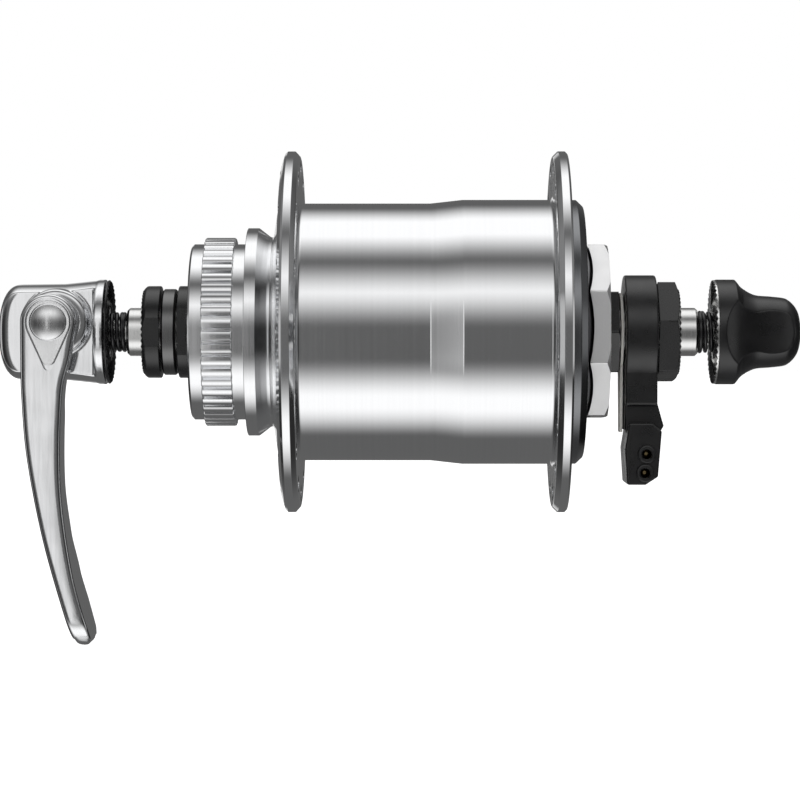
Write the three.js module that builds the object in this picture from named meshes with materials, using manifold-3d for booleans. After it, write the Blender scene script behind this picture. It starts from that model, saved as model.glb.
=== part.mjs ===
// Front wheel generator hub with a splined disc-rotor seat and a quick-release skewer.
// Millimetres. X runs along the axle, positive towards the electrical connector; Z is up.
// The origin is on the axle, halfway between the two faces that the fork ends are clamped against.

import * as THREE from "three";
import { mergeVertices } from "three/addons/utils/BufferGeometryUtils.js";
import Module from "manifold-3d";

const wasm = await Module();
wasm.setup();

// ---------- driving dimensions ----------

const GAP = 0.3; // clearance kept between neighbouring pieces
const FORK_FACE = 50; // half of the over-locknut distance
const LARGE = 40; // sides of the large round pieces
const ROUND = 24; // sides of the middling ones
const SMALL = 16; // sides of the small ones

const AXLE = { r: 4.5, bore: 2.8, left: -53, right: 53.5, chamfer: 0.5 };
// For the lead wire, along the axle's underside.
const GROOVE = { left: 21.5, right: 44.5, width: 1.9, floor: 3.25 };
const ON_AXLE = AXLE.r + GAP; // bore of every piece that sits on the axle

const LOCKNUT = { r: 8.6, left: -FORK_FACE, right: -46.6, chamfer: 0.7, flats: 8.2 };
const SPACER = { left: -46.3, right: -43.6, r: 8.05 };
const RIGHT_LOCKNUT = { left: 45.9, apothem: 8.5, turn: 168, chamfer: 0.6 };

const SHELL = {
  mouth: -40.8, // outboard end of the rotor spigot
  spigotR: 16.4,
  splineLeft: -38.3,
  splineRight: -32.6,
  shoulder: -30.4, // face that the brake rotor rests on
  shoulderR: 19.4,
  shoulderEdge: -28.3,
  neck: -25.6,
  neckR: 17.3,
  leftOuter: -24, // outer faces of the two spoke flanges
  rightOuter: 29,
  leftInner: -20.6, // inner faces of the two spoke flanges
  rightInner: 26.3,
  rimR: 33.7,
  spokeFaceR: 26.5, // outwards from here the left flange is almost flat
  barrelR: 24,
  barrelWideR: 24.67,
  taperLeft: 3.6,
  taperRight: 9.6,
  cavityR: 22.2,
  cavityLeft: -18.4,
  bearingBore: 13.3,
  bearingWeb: -32.7,
};
const SPLINE = { teeth: 48, crestR: 17.6, rootR: 16.9, innerR: 15 };
const SPOKES = { perFlange: 16, holeR: 1.3, circleR: 30.25, sides: 6 };

const BALL = { count: 9, r: 2.38, circleR: 9.2, leftX: -36.5, rightX: 31 };
const RACE_R = BALL.r + GAP;
const CUP = { r: 13, back: -3.5, front: 2.4 };
const CONE = { noseEnd: -2, landR: 8.73, collarR: 8.6, hexApothem: 7.5 };
const SEAL = { near: 3.3, far: 4.3, lipR: 9.05, r: 13 };
const RETAINER = { near: 2.7, far: 3, innerR: 9.1, outerR: 11.5 };
const FINGER = { width: 0.9, end: -1, innerR: 9.2, outerR: 11 };

const STATOR = { left: -14, right: 19.2, plate: 1.6, r: 17.5, coreR: 8, claws: 14, clawR: 16, clawAngle: 9.6 };
const BOBBIN = { left: -12.1, right: 17.3, tubeR: 9.1, flangeR: 15.5, flange: 1 };
const RING = { left: -13.5, right: 18.5, magnetR: 18, magnetOuterR: 20.1, yokeR: 20.4, yokeOuterR: 21.9 };
const STATOR_NUT = { left: 19.5, right: 21.9, apothem: 8.5 };
const LEAD = { r: 0.45, notchZ: -11.5, grooveZ: -3.95, dropX: 43.2, endZ: -24, channelHalf: 0.9 };

const CAP = {
  plug: 24.6,
  flange: 29.3,
  flangeR: 24.65,
  edge: 30.7,
  face: 32,
  faceR: 23.4,
  coneR: 17.6,
  tip: 33.4,
  tipR: 15.2,
  web: 27.2,
  webR: 9.6,
};
const COLLAR = { right: 36.5, apothem: 15.85, sides: 8, turn: 154.2, web: 35.7, chamfer: 0.7, clearance: 0.4 };

const CONNECTOR = { left: 39.7, right: 45.6, r: 10.6, armHalf: 7.5, armFloor: -13.8, floor: -16.9, neckFront: -5.6 };
const BLOCK = { front: -9, back: 5, bossR: 1.7, bossFront: -9.7, socketR: 0.95, pinR: 0.6, pinFront: -7.4 };
const SOCKETS = { upper: [43.5, -22.5], lower: [43.2, -26] }; // X and Z of the two contacts
const PLATE = { left: 38.9, right: 39.4, r: 7.3, tabTop: -6, tabFloor: -18.7, tabHalf: 4, tipHalf: 2.5 };

const PIVOT = [-66.6, 1.8]; // the lever's pin lies along Y through this X and Z
const HOUSING = {
  dome: 4.4, // length of the rounded outer end
  domeR: 8.9,
  domeRight: -72.5,
  flange: -58.7,
  flangeR: 9.8,
  right: -56.9,
  cheek: 5, // half distance between the two flat cheeks
  bossR: 6.2,
  bossTopR: 5.2,
  bossFront: -8.3,
  bossBack: 7,
  boreR: 4,
  mouthR: 4.2, // room for the spring, open towards the fork
  mouthLeft: -59.6,
};
const EYE_ROOM = { left: -72.9, half: 3.3, low: -4.2, high: 7.8 };
const SEAT_RING = { left: -56.6, right: -56, inner: 5.2, outer: 9.7 };
const CAM = { journalR: 3.7, eccentricR: 3, offset: 0.7, eyeGap: 3.2, back: 6.6, stubR: 2.3, stubFront: -10.6 };
const EYE = { half: 2.9, halfWidth: 5.2, halfHeight: 5.6, slotHalfWidth: 3.3, slotHalfHeight: 4 };
const LEVER = { front: -12, headR: 5.2, holeR: 2.6, recessR: 4.05, recessFloor: -10.9, recessTip: 7.8 };
const INSET = { front: -11.95, back: -11.2, domeR: 3.2, domeTop: -13 };
const ROD = { r: 2.35, end: 68.9 };

const NUT = {
  seat: 56.2,
  r: 9.85,
  rimRight: 60.3,
  end: 72.75,
  insertR: 9.2,
  pocketR: 4.8,
  pocket: 60,
  bore: 2.75,
  blind: 70.8,
};
const INSERT = { right: 57.4, inner: 5.2 };
const LOCK_RING = { left: 66.3, right: 68.1, r: 4.2, room: 4.5 };
const SCOOP = { x: 68.5, r: 14, depthY: 5.2 };

// ---------- materials ----------

function finish(color, roughness, metalness) {
  return { color, roughness, metalness };
}

const POLISHED = finish(0xd4d6d9, 0.22, 0.95);
const SATIN = finish(0xb9bbbd, 0.45, 0.9);
const DARK_METAL = finish(0x55575a, 0.3, 0.9);
const STEEL = finish(0xc4c5c3, 0.3, 0.95);
const BEARING = finish(0xe0e1e3, 0.12, 1);
const BLACK_METAL = finish(0x1c1c1e, 0.42, 0.6);
const BLACK_PLASTIC = finish(0x202022, 0.5, 0);
const PALE_PLATE = finish(0xcfccc4, 0.5, 0.1);
const IRON = finish(0x77787b, 0.5, 0.8);
const FERRITE = finish(0x34343a, 0.6, 0.2);
const COPPER = finish(0xa85a2a, 0.35, 0.9);
const PALE_PLASTIC = finish(0xe6e0cc, 0.55, 0);
const BRASS = finish(0xc9a24a, 0.3, 0.95);
const RUBBER = finish(0x18181a, 0.8, 0);
const NYLON = finish(0xdcdcd6, 0.5, 0);

// ---------- geometry helpers ----------

const X_AXIS = new THREE.Vector3(1, 0, 0);
const Y_AXIS = new THREE.Vector3(0, 1, 0);
const Z_AXIS = new THREE.Vector3(0, 0, 1);
const radians = THREE.MathUtils.degToRad;

// A closed three.js geometry as a solid that can be joined and cut.
function solid(geometry) {
  geometry.deleteAttribute("normal");
  geometry.deleteAttribute("uv");
  const merged = mergeVertices(geometry, 1e-4);
  return new wasm.Manifold(
    new wasm.Mesh({
      numProp: 3,
      vertProperties: merged.attributes.position.array,
      triVerts: new Uint32Array(merged.index.array),
    }),
  );
}

function mesh(name, made, look) {
  const { numProp, vertProperties, triVerts } = made.getMesh();
  const geometry = new THREE.BufferGeometry();
  geometry.setAttribute("position", new THREE.BufferAttribute(vertProperties, numProp));
  geometry.setIndex(new THREE.BufferAttribute(triVerts, 1));
  geometry.computeVertexNormals();
  const piece = new THREE.Mesh(geometry, new THREE.MeshStandardMaterial(look));
  piece.name = name;
  return piece;
}

function group(...children) {
  const made = new THREE.Group();
  children.forEach((child) => made.add(child));
  return made;
}

// Points of an arc about a centre, in degrees from the first axis towards the second.
function arc([u, v], radius, from, to, steps) {
  const points = [];
  for (let i = 0; i <= steps; i++) {
    const angle = radians(from + ((to - from) * i) / steps);
    points.push([u + radius * Math.cos(angle), v + radius * Math.sin(angle)]);
  }
  return points;
}

function spline(points, steps) {
  const curve = new THREE.SplineCurve(points.map(([u, v]) => new THREE.Vector2(u, v)));
  return curve.getPoints(steps).map(({ x, y }) => [x, y]);
}

function signedArea(points) {
  return points.reduce((sum, [u, v], i) => {
    const [nextU, nextV] = points[(i + 1) % points.length];
    return sum + u * nextV - nextU * v;
  }, 0);
}

// A closed outline of [position along the axis, radius] points as a lathe profile with its faces outwards.
function latheProfile(outline) {
  const loop = signedArea(outline) > 0 ? [...outline].reverse() : outline;
  return [...loop, loop[0]].map(([along, r]) => new THREE.Vector2(r, along));
}

function turned(outline, sides = ROUND) {
  return solid(new THREE.LatheGeometry(latheProfile(outline), sides).rotateZ(-Math.PI / 2));
}

function turnedAlongY(outline, [x, z], sides = SMALL) {
  return solid(new THREE.LatheGeometry(latheProfile(outline), sides).translate(x, 0, z));
}

function tube(left, right, inner, outer, sides = ROUND) {
  return turned([[left, inner], [left, outer], [right, outer], [right, inner]], sides);
}

function barAlongX(left, right, r, sides = ROUND) {
  return turned([[left, 0], [left, r], [right, r], [right, 0]], sides);
}

function pinAlongY(front, back, r, place, sides = SMALL) {
  return turnedAlongY([[front, 0], [front, r], [back, r], [back, 0]], place, sides);
}

function extruded(points, depth) {
  const shape = new THREE.Shape(points.map(([u, v]) => new THREE.Vector2(u, v)));
  return new THREE.ExtrudeGeometry(shape, { depth, bevelEnabled: false });
}

// An outline of [y, z] points drawn out along X.
function alongX(points, left, right) {
  const geometry = extruded(points, right - left);
  geometry.applyMatrix4(new THREE.Matrix4().makeBasis(Y_AXIS, Z_AXIS, X_AXIS));
  return solid(geometry.translate(left, 0, 0));
}

// An outline of [x, z] points drawn out along Y.
function alongY(points, front, back) {
  const geometry = extruded(points, back - front);
  geometry.applyMatrix4(new THREE.Matrix4().makeBasis(X_AXIS, Z_AXIS, Y_AXIS.clone().negate()));
  return solid(geometry.translate(0, back, 0));
}

function box([x0, x1], [y0, y1], [z0, z1]) {
  const geometry = new THREE.BoxGeometry(x1 - x0, y1 - y0, z1 - z0);
  return solid(geometry.translate((x0 + x1) / 2, (y0 + y1) / 2, (z0 + z1) / 2));
}

// A regular polygon of [y, z] points; turn is the angle of one corner in degrees from +Y towards +Z.
function polygon(sides, apothem, turn) {
  return arc([0, 0], apothem / Math.cos(Math.PI / sides), turn, turn + 360, sides).slice(0, sides);
}

// A rod of round section drawn along a curve.
function wire(curve, r, steps) {
  const hexagon = arc([0, 0], r, 0, 360, 6).slice(0, 6);
  const section = new THREE.Shape(hexagon.map(([u, v]) => new THREE.Vector2(u, v)));
  return solid(new THREE.ExtrudeGeometry(section, { extrudePath: curve, steps, bevelEnabled: false }));
}

class CoilCurve extends THREE.Curve {
  constructor(from, to, turns) {
    super();
    Object.assign(this, { from, to, turns });
  }

  getPoint(t) {
    const angle = 2 * Math.PI * this.turns * t;
    const x = THREE.MathUtils.lerp(this.from.x, this.to.x, t);
    const r = THREE.MathUtils.lerp(this.from.r, this.to.r, t);
    return new THREE.Vector3(x, r * Math.cos(angle), r * Math.sin(angle));
  }
}

// A conical coil spring about the X axis; from and to hold x and r of the wire's centre line.
function coilSpring(from, to, turns, wireR) {
  return wire(new CoilCurve(from, to, turns), wireR, 10 * turns);
}

// ---------- ball bearings ----------
// Each is described by distances outboard of its ball circle; side is -1 on the left and +1 on the right.

function outboard(points, ballX, side) {
  return points.map(([away, r]) => [ballX + side * away, r]);
}

function coneOutline(end) {
  return [
    [end, ON_AXLE],
    [end, CONE.landR],
    ...arc([0, BALL.circleR], RACE_R, -10, -90, 5),
    [CONE.noseEnd, BALL.circleR - RACE_R],
    [CONE.noseEnd, ON_AXLE],
  ];
}

function leftCone() {
  const nose = turned(outboard(coneOutline(5), BALL.leftX, -1));
  const collar = tube(-43.3, -41.4, ON_AXLE, CONE.collarR);
  const outsideFlats = box([-43.5, -41.6], [-10, 10], [-10, 10]).subtract(
    box([-44, -41], [-CONE.hexApothem, CONE.hexApothem], [-11, 11]),
  );
  return mesh("left_cone", nose.add(collar).subtract(outsideFlats), BLACK_METAL);
}

function rightCone() {
  const nose = turned(outboard(coneOutline(5.7), BALL.rightX, 1));
  const hex = alongX(polygon(6, CONE.hexApothem, 60), 36.6, 38.6);
  return mesh("right_cone", nose.add(hex).subtract(barAlongX(36, 39, ON_AXLE)), BLACK_METAL);
}

function bearingCup(name, ballX, side) {
  const outline = [
    [CUP.front, CUP.r],
    ...arc([0, BALL.circleR], RACE_R, 90, 180, 5),
    [CUP.back, BALL.circleR],
    [CUP.back, CUP.r],
  ];
  outline.splice(1, 0, [CUP.front, BALL.circleR + RACE_R]);
  return mesh(name, turned(outboard(outline, ballX, side)), BEARING);
}

function dustSeal(name, ballX, side) {
  const { near, far, lipR, r } = SEAL;
  const outline = [[near, lipR + 0.6], [near, r], [far, r], [far, lipR]];
  return mesh(name, turned(outboard(outline, ballX, side)), RUBBER);
}

// A stamped ring outboard of the balls with a finger between each two.
function ballRetainer(name, ballX, side) {
  const { near, far, innerR, outerR } = RETAINER;
  const { width, end } = FINGER;
  let cage = turned(outboard([[near, innerR], [near, outerR], [far, outerR], [far, innerR]], ballX, side));
  for (let i = 0; i < BALL.count; i++) {
    const [[nearX], [farX]] = outboard([[end, 0], [near + 0.1, 0]], ballX, side).sort((a, b) => a[0] - b[0]);
    const finger = box([nearX, farX], [-width / 2, width / 2], [FINGER.innerR, FINGER.outerR]);
    cage = cage.add(finger.rotate([(360 * (i + 0.5)) / BALL.count, 0, 0]));
  }
  return mesh(name, cage, STEEL);
}

function balls(prefix, ballX) {
  const set = group();
  for (let i = 0; i < BALL.count; i++) {
    const ball = mesh(prefix + (i + 1), solid(new THREE.SphereGeometry(BALL.r, 8, 6)), BEARING);
    const angle = radians((360 * i) / BALL.count);
    ball.position.set(0, -BALL.circleR * Math.sin(angle), BALL.circleR * Math.cos(angle));
    set.add(ball);
  }
  set.position.x = ballX;
  return set;
}

// ---------- axle and what is clamped on it ----------

function axle() {
  const { r, bore, left, right, chamfer } = AXLE;
  const bar = turned([
    [left, bore],
    [left, r - chamfer],
    [left + chamfer, r],
    [right - chamfer, r],
    [right, r - chamfer],
    [right, bore],
  ]);
  const half = GROOVE.width / 2;
  const groove = box([GROOVE.left, GROOVE.right], [-half, half], [-r - 1, -GROOVE.floor]);
  return mesh("axle", bar.subtract(groove), STEEL);
}

function leftLocknut() {
  const { r, left, right, chamfer, flats } = LOCKNUT;
  const nut = turned([
    [left, ON_AXLE],
    [left, r - chamfer],
    [left + chamfer, r],
    [right, r],
    [right, ON_AXLE],
  ]);
  const between = box([left - 1, right + 1], [-flats, flats], [-r - 1, r + 1]);
  return mesh("left_locknut", nut.intersect(between), BLACK_METAL);
}

function rightLocknut() {
  const { left, apothem, turn, chamfer } = RIGHT_LOCKNUT;
  const corner = apothem / Math.cos(Math.PI / 6);
  const chamfered = turned([
    [left, ON_AXLE],
    [left, corner + 0.1],
    [FORK_FACE - chamfer, corner + 0.1],
    [FORK_FACE, apothem - 0.2],
    [FORK_FACE, ON_AXLE],
  ]);
  const prism = alongX(polygon(6, apothem, turn), left, FORK_FACE);
  return mesh("right_locknut", prism.intersect(chamfered), BLACK_METAL);
}

// ---------- electrical connector ----------

function leadChannel(top, bottom) {
  const { dropX, channelHalf } = LEAD;
  return box([dropX - channelHalf, dropX + channelHalf], [-channelHalf, channelHalf], [bottom, top]);
}

function connectorBody() {
  const { left, right, r, armHalf, armFloor, floor, neckFront } = CONNECTOR;
  const ring = barAlongX(left, right, r);
  const arm = box([left, right], [-armHalf, armHalf], [armFloor, -r / 2]);
  const neckSide = [[left, armFloor + 1], [left - 0.2, floor], [right + 1.3, floor], [right, armFloor + 1]];
  const neck = alongY(neckSide, neckFront, armHalf);
  const bore = barAlongX(left - 1, right + 1, ON_AXLE);
  const made = ring.add(arm).add(neck).subtract(bore).subtract(leadChannel(-3, floor - 1));
  return mesh("connector_body", made, BLACK_PLASTIC);
}

function terminalBlock() {
  const { front, back, bossR, bossFront, socketR } = BLOCK;
  const side = [
    [40.3, -17.2],
    [44.6, -17.2],
    [46.3, -18.5],
    [45.6, -26.7],
    [43.3, -28.2],
    [39.9, -28.2],
    [39.5, -21.7],
  ];
  let block = alongY(side, front, back);
  for (const place of Object.values(SOCKETS)) {
    block = block.add(pinAlongY(bossFront, front + 1, bossR, place));
  }
  for (const place of Object.values(SOCKETS)) {
    block = block.subtract(pinAlongY(bossFront - 1, -0.5, socketR, place, 12));
  }
  return mesh("terminal_block", block.subtract(leadChannel(-16, -27)), BLACK_PLASTIC);
}

function terminalPin(name, place) {
  return mesh(name, pinAlongY(BLOCK.pinFront, -1.3, BLOCK.pinR, place, 10), BRASS);
}

function insulatingPlate() {
  const { left, right, r, tabTop, tabFloor, tabHalf, tipHalf } = PLATE;
  const tab = [[-tabHalf, tabTop], [-tipHalf, tabFloor], [tipHalf, tabFloor], [tabHalf, tabTop]];
  const made = barAlongX(left, right, r).add(alongX(tab, left, right));
  return mesh("insulating_plate", made.subtract(barAlongX(left - 1, right + 1, ON_AXLE)), PALE_PLATE);
}

// ---------- generator ----------

// A plate with a ring of flat claws along the axle, reaching over the coil from one end.
function clawPlate(name, plateLeft, clawEnds, offset) {
  const { r, plate, claws, clawR, clawAngle } = STATOR;
  let made = tube(plateLeft, plateLeft + plate, ON_AXLE, r, 2 * claws);
  const half = clawAngle / 2;
  const section = [...arc([0, 0], r, -half, half, 1), ...arc([0, 0], clawR, half, -half, 1)];
  const claw = alongX(section, ...clawEnds);
  for (let i = 0; i < claws; i++) {
    made = made.add(claw.rotate([(360 * (i + offset)) / claws, 0, 0]));
  }
  const notchHeight = [LEAD.notchZ - 0.8, LEAD.notchZ + 0.8];
  const notch = box([plateLeft - 1, plateLeft + plate + 1], [-0.8, 0.8], notchHeight);
  return mesh(name, made.subtract(notch), IRON);
}

function coilBobbin() {
  const { left, right, tubeR, flangeR, flange } = BOBBIN;
  const inner = STATOR.coreR + GAP;
  const spool = turned([
    [left, inner],
    [left, flangeR],
    [left + flange, flangeR],
    [left + flange, tubeR],
    [right - flange, tubeR],
    [right - flange, flangeR],
    [right, flangeR],
    [right, inner],
  ]);
  return mesh("coil_bobbin", spool, PALE_PLASTIC);
}

function coilWinding() {
  const { left, right, tubeR, flangeR, flange } = BOBBIN;
  const edge = flange + GAP;
  return mesh("coil_winding", tube(left + edge, right - edge, tubeR + GAP, flangeR - GAP), COPPER);
}

// The lead comes out beside the stator nut, runs in the axle's groove and drops into the connector.
function coilLead() {
  const { r, notchZ, grooveZ, dropX, endZ } = LEAD;
  const between = (STATOR_NUT.right + CAP.plug) / 2 - 0.2;
  const route = [
    [BOBBIN.right + GAP + 0.1, notchZ],
    [between - 1.2, notchZ],
    [between - 0.2, notchZ + 0.7],
    [between, notchZ + 2],
    [between, grooveZ - 1.5],
    [between + 0.5, grooveZ - 0.3],
    [between + 1.8, grooveZ],
    [(between + dropX) / 2, grooveZ],
    [dropX - 1.8, grooveZ],
    [dropX - 0.4, grooveZ - 0.5],
    [dropX, grooveZ - 2],
    [dropX, endZ],
  ];
  const points = route.map(([x, z]) => new THREE.Vector3(x, 0, z));
  const curve = new THREE.CatmullRomCurve3(points, false, "centripetal");
  return mesh("coil_lead", wire(curve, r, 44), COPPER);
}

function statorNut() {
  const { left, right, apothem } = STATOR_NUT;
  const hex = alongX(polygon(6, apothem, 0), left, right);
  return mesh("stator_nut", hex.subtract(barAlongX(left - 1, right + 1, ON_AXLE)), STEEL);
}

// ---------- turning shell ----------

function splineTeeth() {
  const { teeth, crestR, rootR, innerR } = SPLINE;
  const pitch = 360 / teeth;
  const ring = [];
  for (let i = 0; i < teeth; i++) {
    const start = i * pitch;
    ring.push(...arc([0, 0], crestR, start, start + 0.4 * pitch, 1));
    ring.push(...arc([0, 0], rootR, start + 0.55 * pitch, start + 0.85 * pitch, 1));
  }
  const teethBar = alongX(ring, SHELL.splineLeft, SHELL.splineRight);
  return teethBar.subtract(barAlongX(SHELL.splineLeft - 1, SHELL.splineRight + 1, innerR, LARGE));
}

function spokeHoles(left, right, offset) {
  const { perFlange, holeR, circleR, sides } = SPOKES;
  const hole = alongX(arc([0, circleR], holeR, 0, 360, sides).slice(0, sides), left, right);
  let holes = hole.rotate([(360 * offset) / perFlange, 0, 0]);
  for (let i = 1; i < perFlange; i++) {
    holes = holes.add(hole.rotate([(360 * (i + offset)) / perFlange, 0, 0]));
  }
  return holes;
}

function hubShell() {
  const s = SHELL;
  const outside = [
    [s.mouth, s.bearingBore],
    [s.mouth, s.spigotR - 0.4],
    [s.mouth + 0.4, s.spigotR],
    [s.shoulder, s.spigotR],
    [s.shoulder, s.shoulderR],
    [s.shoulderEdge, s.shoulderR],
    [s.neck, s.neckR],
    [s.leftOuter - 1.2, s.shoulderR],
    [s.leftOuter - 0.12, s.spokeFaceR],
    [s.leftOuter, s.rimR - 2.7],
    [s.leftOuter + 0.7, s.rimR - 0.4],
    [s.leftOuter + 1.15, s.rimR],
    [s.leftInner - 0.9, s.rimR],
    [s.leftInner, s.rimR - 1],
    [s.leftInner, s.barrelR + 0.7],
    [s.leftInner + 0.7, s.barrelR],
    [s.taperLeft, s.barrelR],
    [s.taperRight, s.barrelWideR],
    [s.rightInner - 0.6, s.barrelWideR],
    [s.rightInner, s.barrelWideR + 0.6],
    [s.rightInner, s.rimR - 1],
    [s.rightInner + 1, s.rimR],
    [s.rightOuter - 0.4, s.rimR],
    [s.rightOuter, s.rimR - 0.4],
    [s.rightOuter, s.cavityR],
  ];
  const inside = [
    [s.cavityLeft, s.cavityR],
    [s.cavityLeft - 2.1, 20],
    [s.neck + 2.6, 14],
    [-30, 14],
    [-30, CAP.webR],
    [s.bearingWeb, CAP.webR],
    [s.bearingWeb, s.bearingBore],
  ];
  const shell = turned([...outside, ...inside], LARGE)
    .add(splineTeeth())
    .subtract(spokeHoles(s.leftOuter - 2, s.leftInner + 1, 0))
    .subtract(spokeHoles(s.rightInner - 1, s.rightOuter + 1, 0.5));
  return mesh("hub_shell", shell, POLISHED);
}

function endCap() {
  const c = CAP;
  const cap = turned(
    [
      [c.plug, c.webR],
      [c.plug, SHELL.cavityR - GAP],
      [c.flange, SHELL.cavityR - GAP],
      [c.flange, c.flangeR],
      [c.edge, c.flangeR],
      [c.face, c.faceR],
      [c.face, c.coneR],
      [c.tip, c.tipR],
      [c.tip, SHELL.bearingBore],
      [c.web, SHELL.bearingBore],
      [c.web, c.webR],
    ],
    LARGE,
  );
  return mesh("end_cap", cap, DARK_METAL);
}

// The eight-sided collar that a wrench holds; its left side follows the cone of the end cap.
function capCollar() {
  const { right, apothem, sides, turn, web, chamfer, clearance } = COLLAR;
  const prism = alongX(polygon(sides, apothem, turn), CAP.face + 0.3, right);
  const corner = apothem / Math.cos(Math.PI / sides);
  const room = turned([
    [CAP.face - 1, 0],
    [CAP.face - 1, CAP.coneR + 3],
    [CAP.face + clearance, CAP.coneR + 3],
    [CAP.face + clearance, CAP.coneR],
    [CAP.tip + clearance, CAP.tipR],
    [CAP.tip + clearance, SHELL.bearingBore + GAP],
    [web, SHELL.bearingBore + GAP],
    [web, CAP.webR],
    [right + 1, CAP.webR],
    [right + 1, 0],
  ]);
  const chamfered = barAlongX(CAP.face - 1, right, corner - chamfer).add(
    barAlongX(CAP.face - 1, right - chamfer, corner + 1),
  );
  return mesh("cap_collar", prism.intersect(chamfered).subtract(room), SATIN);
}

// ---------- quick-release skewer ----------

// The rounded outer end of the housing, a superellipse from its middle to its side.
function domeOutline(steps) {
  const { dome, domeR, domeRight } = HOUSING;
  const power = 2 / 2.5;
  const points = [];
  for (let i = 0; i <= steps; i++) {
    const angle = ((Math.PI / 2) * i) / steps;
    points.push([domeRight - dome * Math.cos(angle) ** power, domeR * Math.sin(angle) ** power]);
  }
  return points;
}

function qrHousing() {
  const h = HOUSING;
  const rounded = turned([
    ...domeOutline(7),
    [-64.6, 9],
    [-61.6, 9.3],
    [h.flange - 0.3, 9.6],
    [h.flange + 0.5, h.flangeR],
    [h.right, h.flangeR],
    [h.right, 0],
  ]);
  const between = box([-80, h.flange], [-h.cheek, h.cheek], [-12, 12]).add(
    box([h.flange - 0.1, h.right], [-12, 12], [-12, 12]),
  );
  const bosses = turnedAlongY(
    [
      [h.bossFront, 0],
      [h.bossFront, h.bossTopR],
      [-h.cheek - 1, h.bossR],
      [h.bossBack - 0.6, h.bossR],
      [h.bossBack, h.bossR - 0.6],
      [h.bossBack, 0],
    ],
    PIVOT,
  );
  const room = EYE_ROOM;
  const eyeRoom = box([room.left, h.right + 1], [-room.half, room.half], [room.low, room.high]);
  const made = rounded
    .intersect(between)
    .add(bosses)
    .subtract(pinAlongY(h.bossFront - 1, h.bossBack + 1, h.boreR, PIVOT))
    .subtract(eyeRoom)
    .subtract(barAlongX(h.mouthLeft, h.right + 1, h.mouthR, SMALL));
  return mesh("qr_housing", made, POLISHED);
}

function camShaft() {
  const { journalR, eccentricR, offset, eyeGap, back, stubR, stubFront } = CAM;
  const [x, z] = PIVOT;
  const made = pinAlongY(HOUSING.bossFront, -eyeGap, journalR, PIVOT)
    .add(pinAlongY(-eyeGap - 0.1, eyeGap + 0.1, eccentricR, [x - offset, z]))
    .add(pinAlongY(eyeGap, back, journalR, PIVOT))
    .add(pinAlongY(stubFront, HOUSING.bossFront + 0.1, stubR, PIVOT));
  return mesh("cam_shaft", made, STEEL);
}

// A round-headed outline that narrows to a tip below its centre.
function teardrop([x, z], r, tip) {
  const slope = THREE.MathUtils.radToDeg(Math.asin(r / tip));
  return [...arc([x, z], r, -slope, 180 + slope, 16), ...arc([x, z - tip + 0.6], 0.5, 200, 340, 3)];
}

function qrLever() {
  const [x, z] = PIVOT;
  const { front, headR, holeR, recessR, recessFloor, recessTip } = LEVER;
  const leftEdge = spline(
    [[x - headR, z], [-71.7, -11.5], [-70.6, -23.5], [-67.6, -38.9], [-63.2, -54.3], [-61, -57.6]],
    14,
  );
  const rightEdge = spline(
    [[-60, -57.4], [-59.2, -55.6], [-62.3, -44.2], [-64.3, -28.4], [-64.4, -12.1], [x + headR, z]],
    14,
  );
  const face = [...arc([x, z], headR, 0, 180, 10), ...leftEdge.slice(1), ...rightEdge.slice(0, -1)];
  const edge = [
    [front, 8],
    [HOUSING.bossFront - GAP, 8],
    [HOUSING.bossFront - GAP, -6.9],
    [-5.6, -9],
    [-5.6, -12.3],
    ...spline([[-3.5, -15.5], [-3.5, -28], [-1.5, -37], [2.5, -44.5], [3.8, -50], [2.8, -55], [0, -58]], 12),
    [-9, -58],
    [front, -55],
  ];
  const made = alongY(face, front, 5)
    .intersect(alongX(edge, -75, -55))
    .subtract(alongY(teardrop(PIVOT, recessR, recessTip), front - 1, recessFloor))
    .subtract(pinAlongY(recessFloor - 1, HOUSING.bossFront, holeR, PIVOT));
  return mesh("qr_lever", made, POLISHED);
}

function leverInset() {
  const { recessR, recessTip } = LEVER;
  const drop = alongY(teardrop(PIVOT, recessR - GAP, recessTip - GAP), INSET.front, INSET.back);
  const hole = pinAlongY(INSET.front - 1, INSET.back + 1, INSET.domeR + GAP, PIVOT);
  return mesh("lever_inset", drop.subtract(hole), SATIN);
}

function leverDome() {
  const { back, domeR, domeTop } = INSET;
  const rise = LEVER.front - domeTop;
  const sphereR = (domeR ** 2 + rise ** 2) / (2 * rise);
  const half = THREE.MathUtils.radToDeg(Math.asin(domeR / sphereR));
  const cap = arc([domeTop + sphereR, 0], sphereR, 180, 180 - half, 5);
  return mesh("lever_dome", turnedAlongY([...cap, [back, domeR], [back, 0]], PIVOT), POLISHED);
}

function ellipse([x, z], halfWidth, halfHeight, steps) {
  return arc([0, 0], 1, 0, 360, steps)
    .slice(0, steps)
    .map(([u, v]) => [x + halfWidth * u, z + halfHeight * v]);
}

// The rod's eye goes round the eccentric, with room for it to rise and fall as the lever turns.
function skewerRod() {
  const centre = [PIVOT[0] - CAM.offset, PIVOT[1]];
  const eye = alongY(ellipse(centre, EYE.halfWidth, EYE.halfHeight, SMALL), -EYE.half, EYE.half);
  const slot = alongY(ellipse(centre, EYE.slotHalfWidth, EYE.slotHalfHeight, SMALL), -EYE.half - 1, EYE.half + 1);
  const rod = barAlongX(centre[0] + EYE.slotHalfWidth + 0.6, ROD.end, ROD.r, SMALL);
  return mesh("skewer_rod", eye.add(rod).subtract(slot), STEEL);
}

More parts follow.
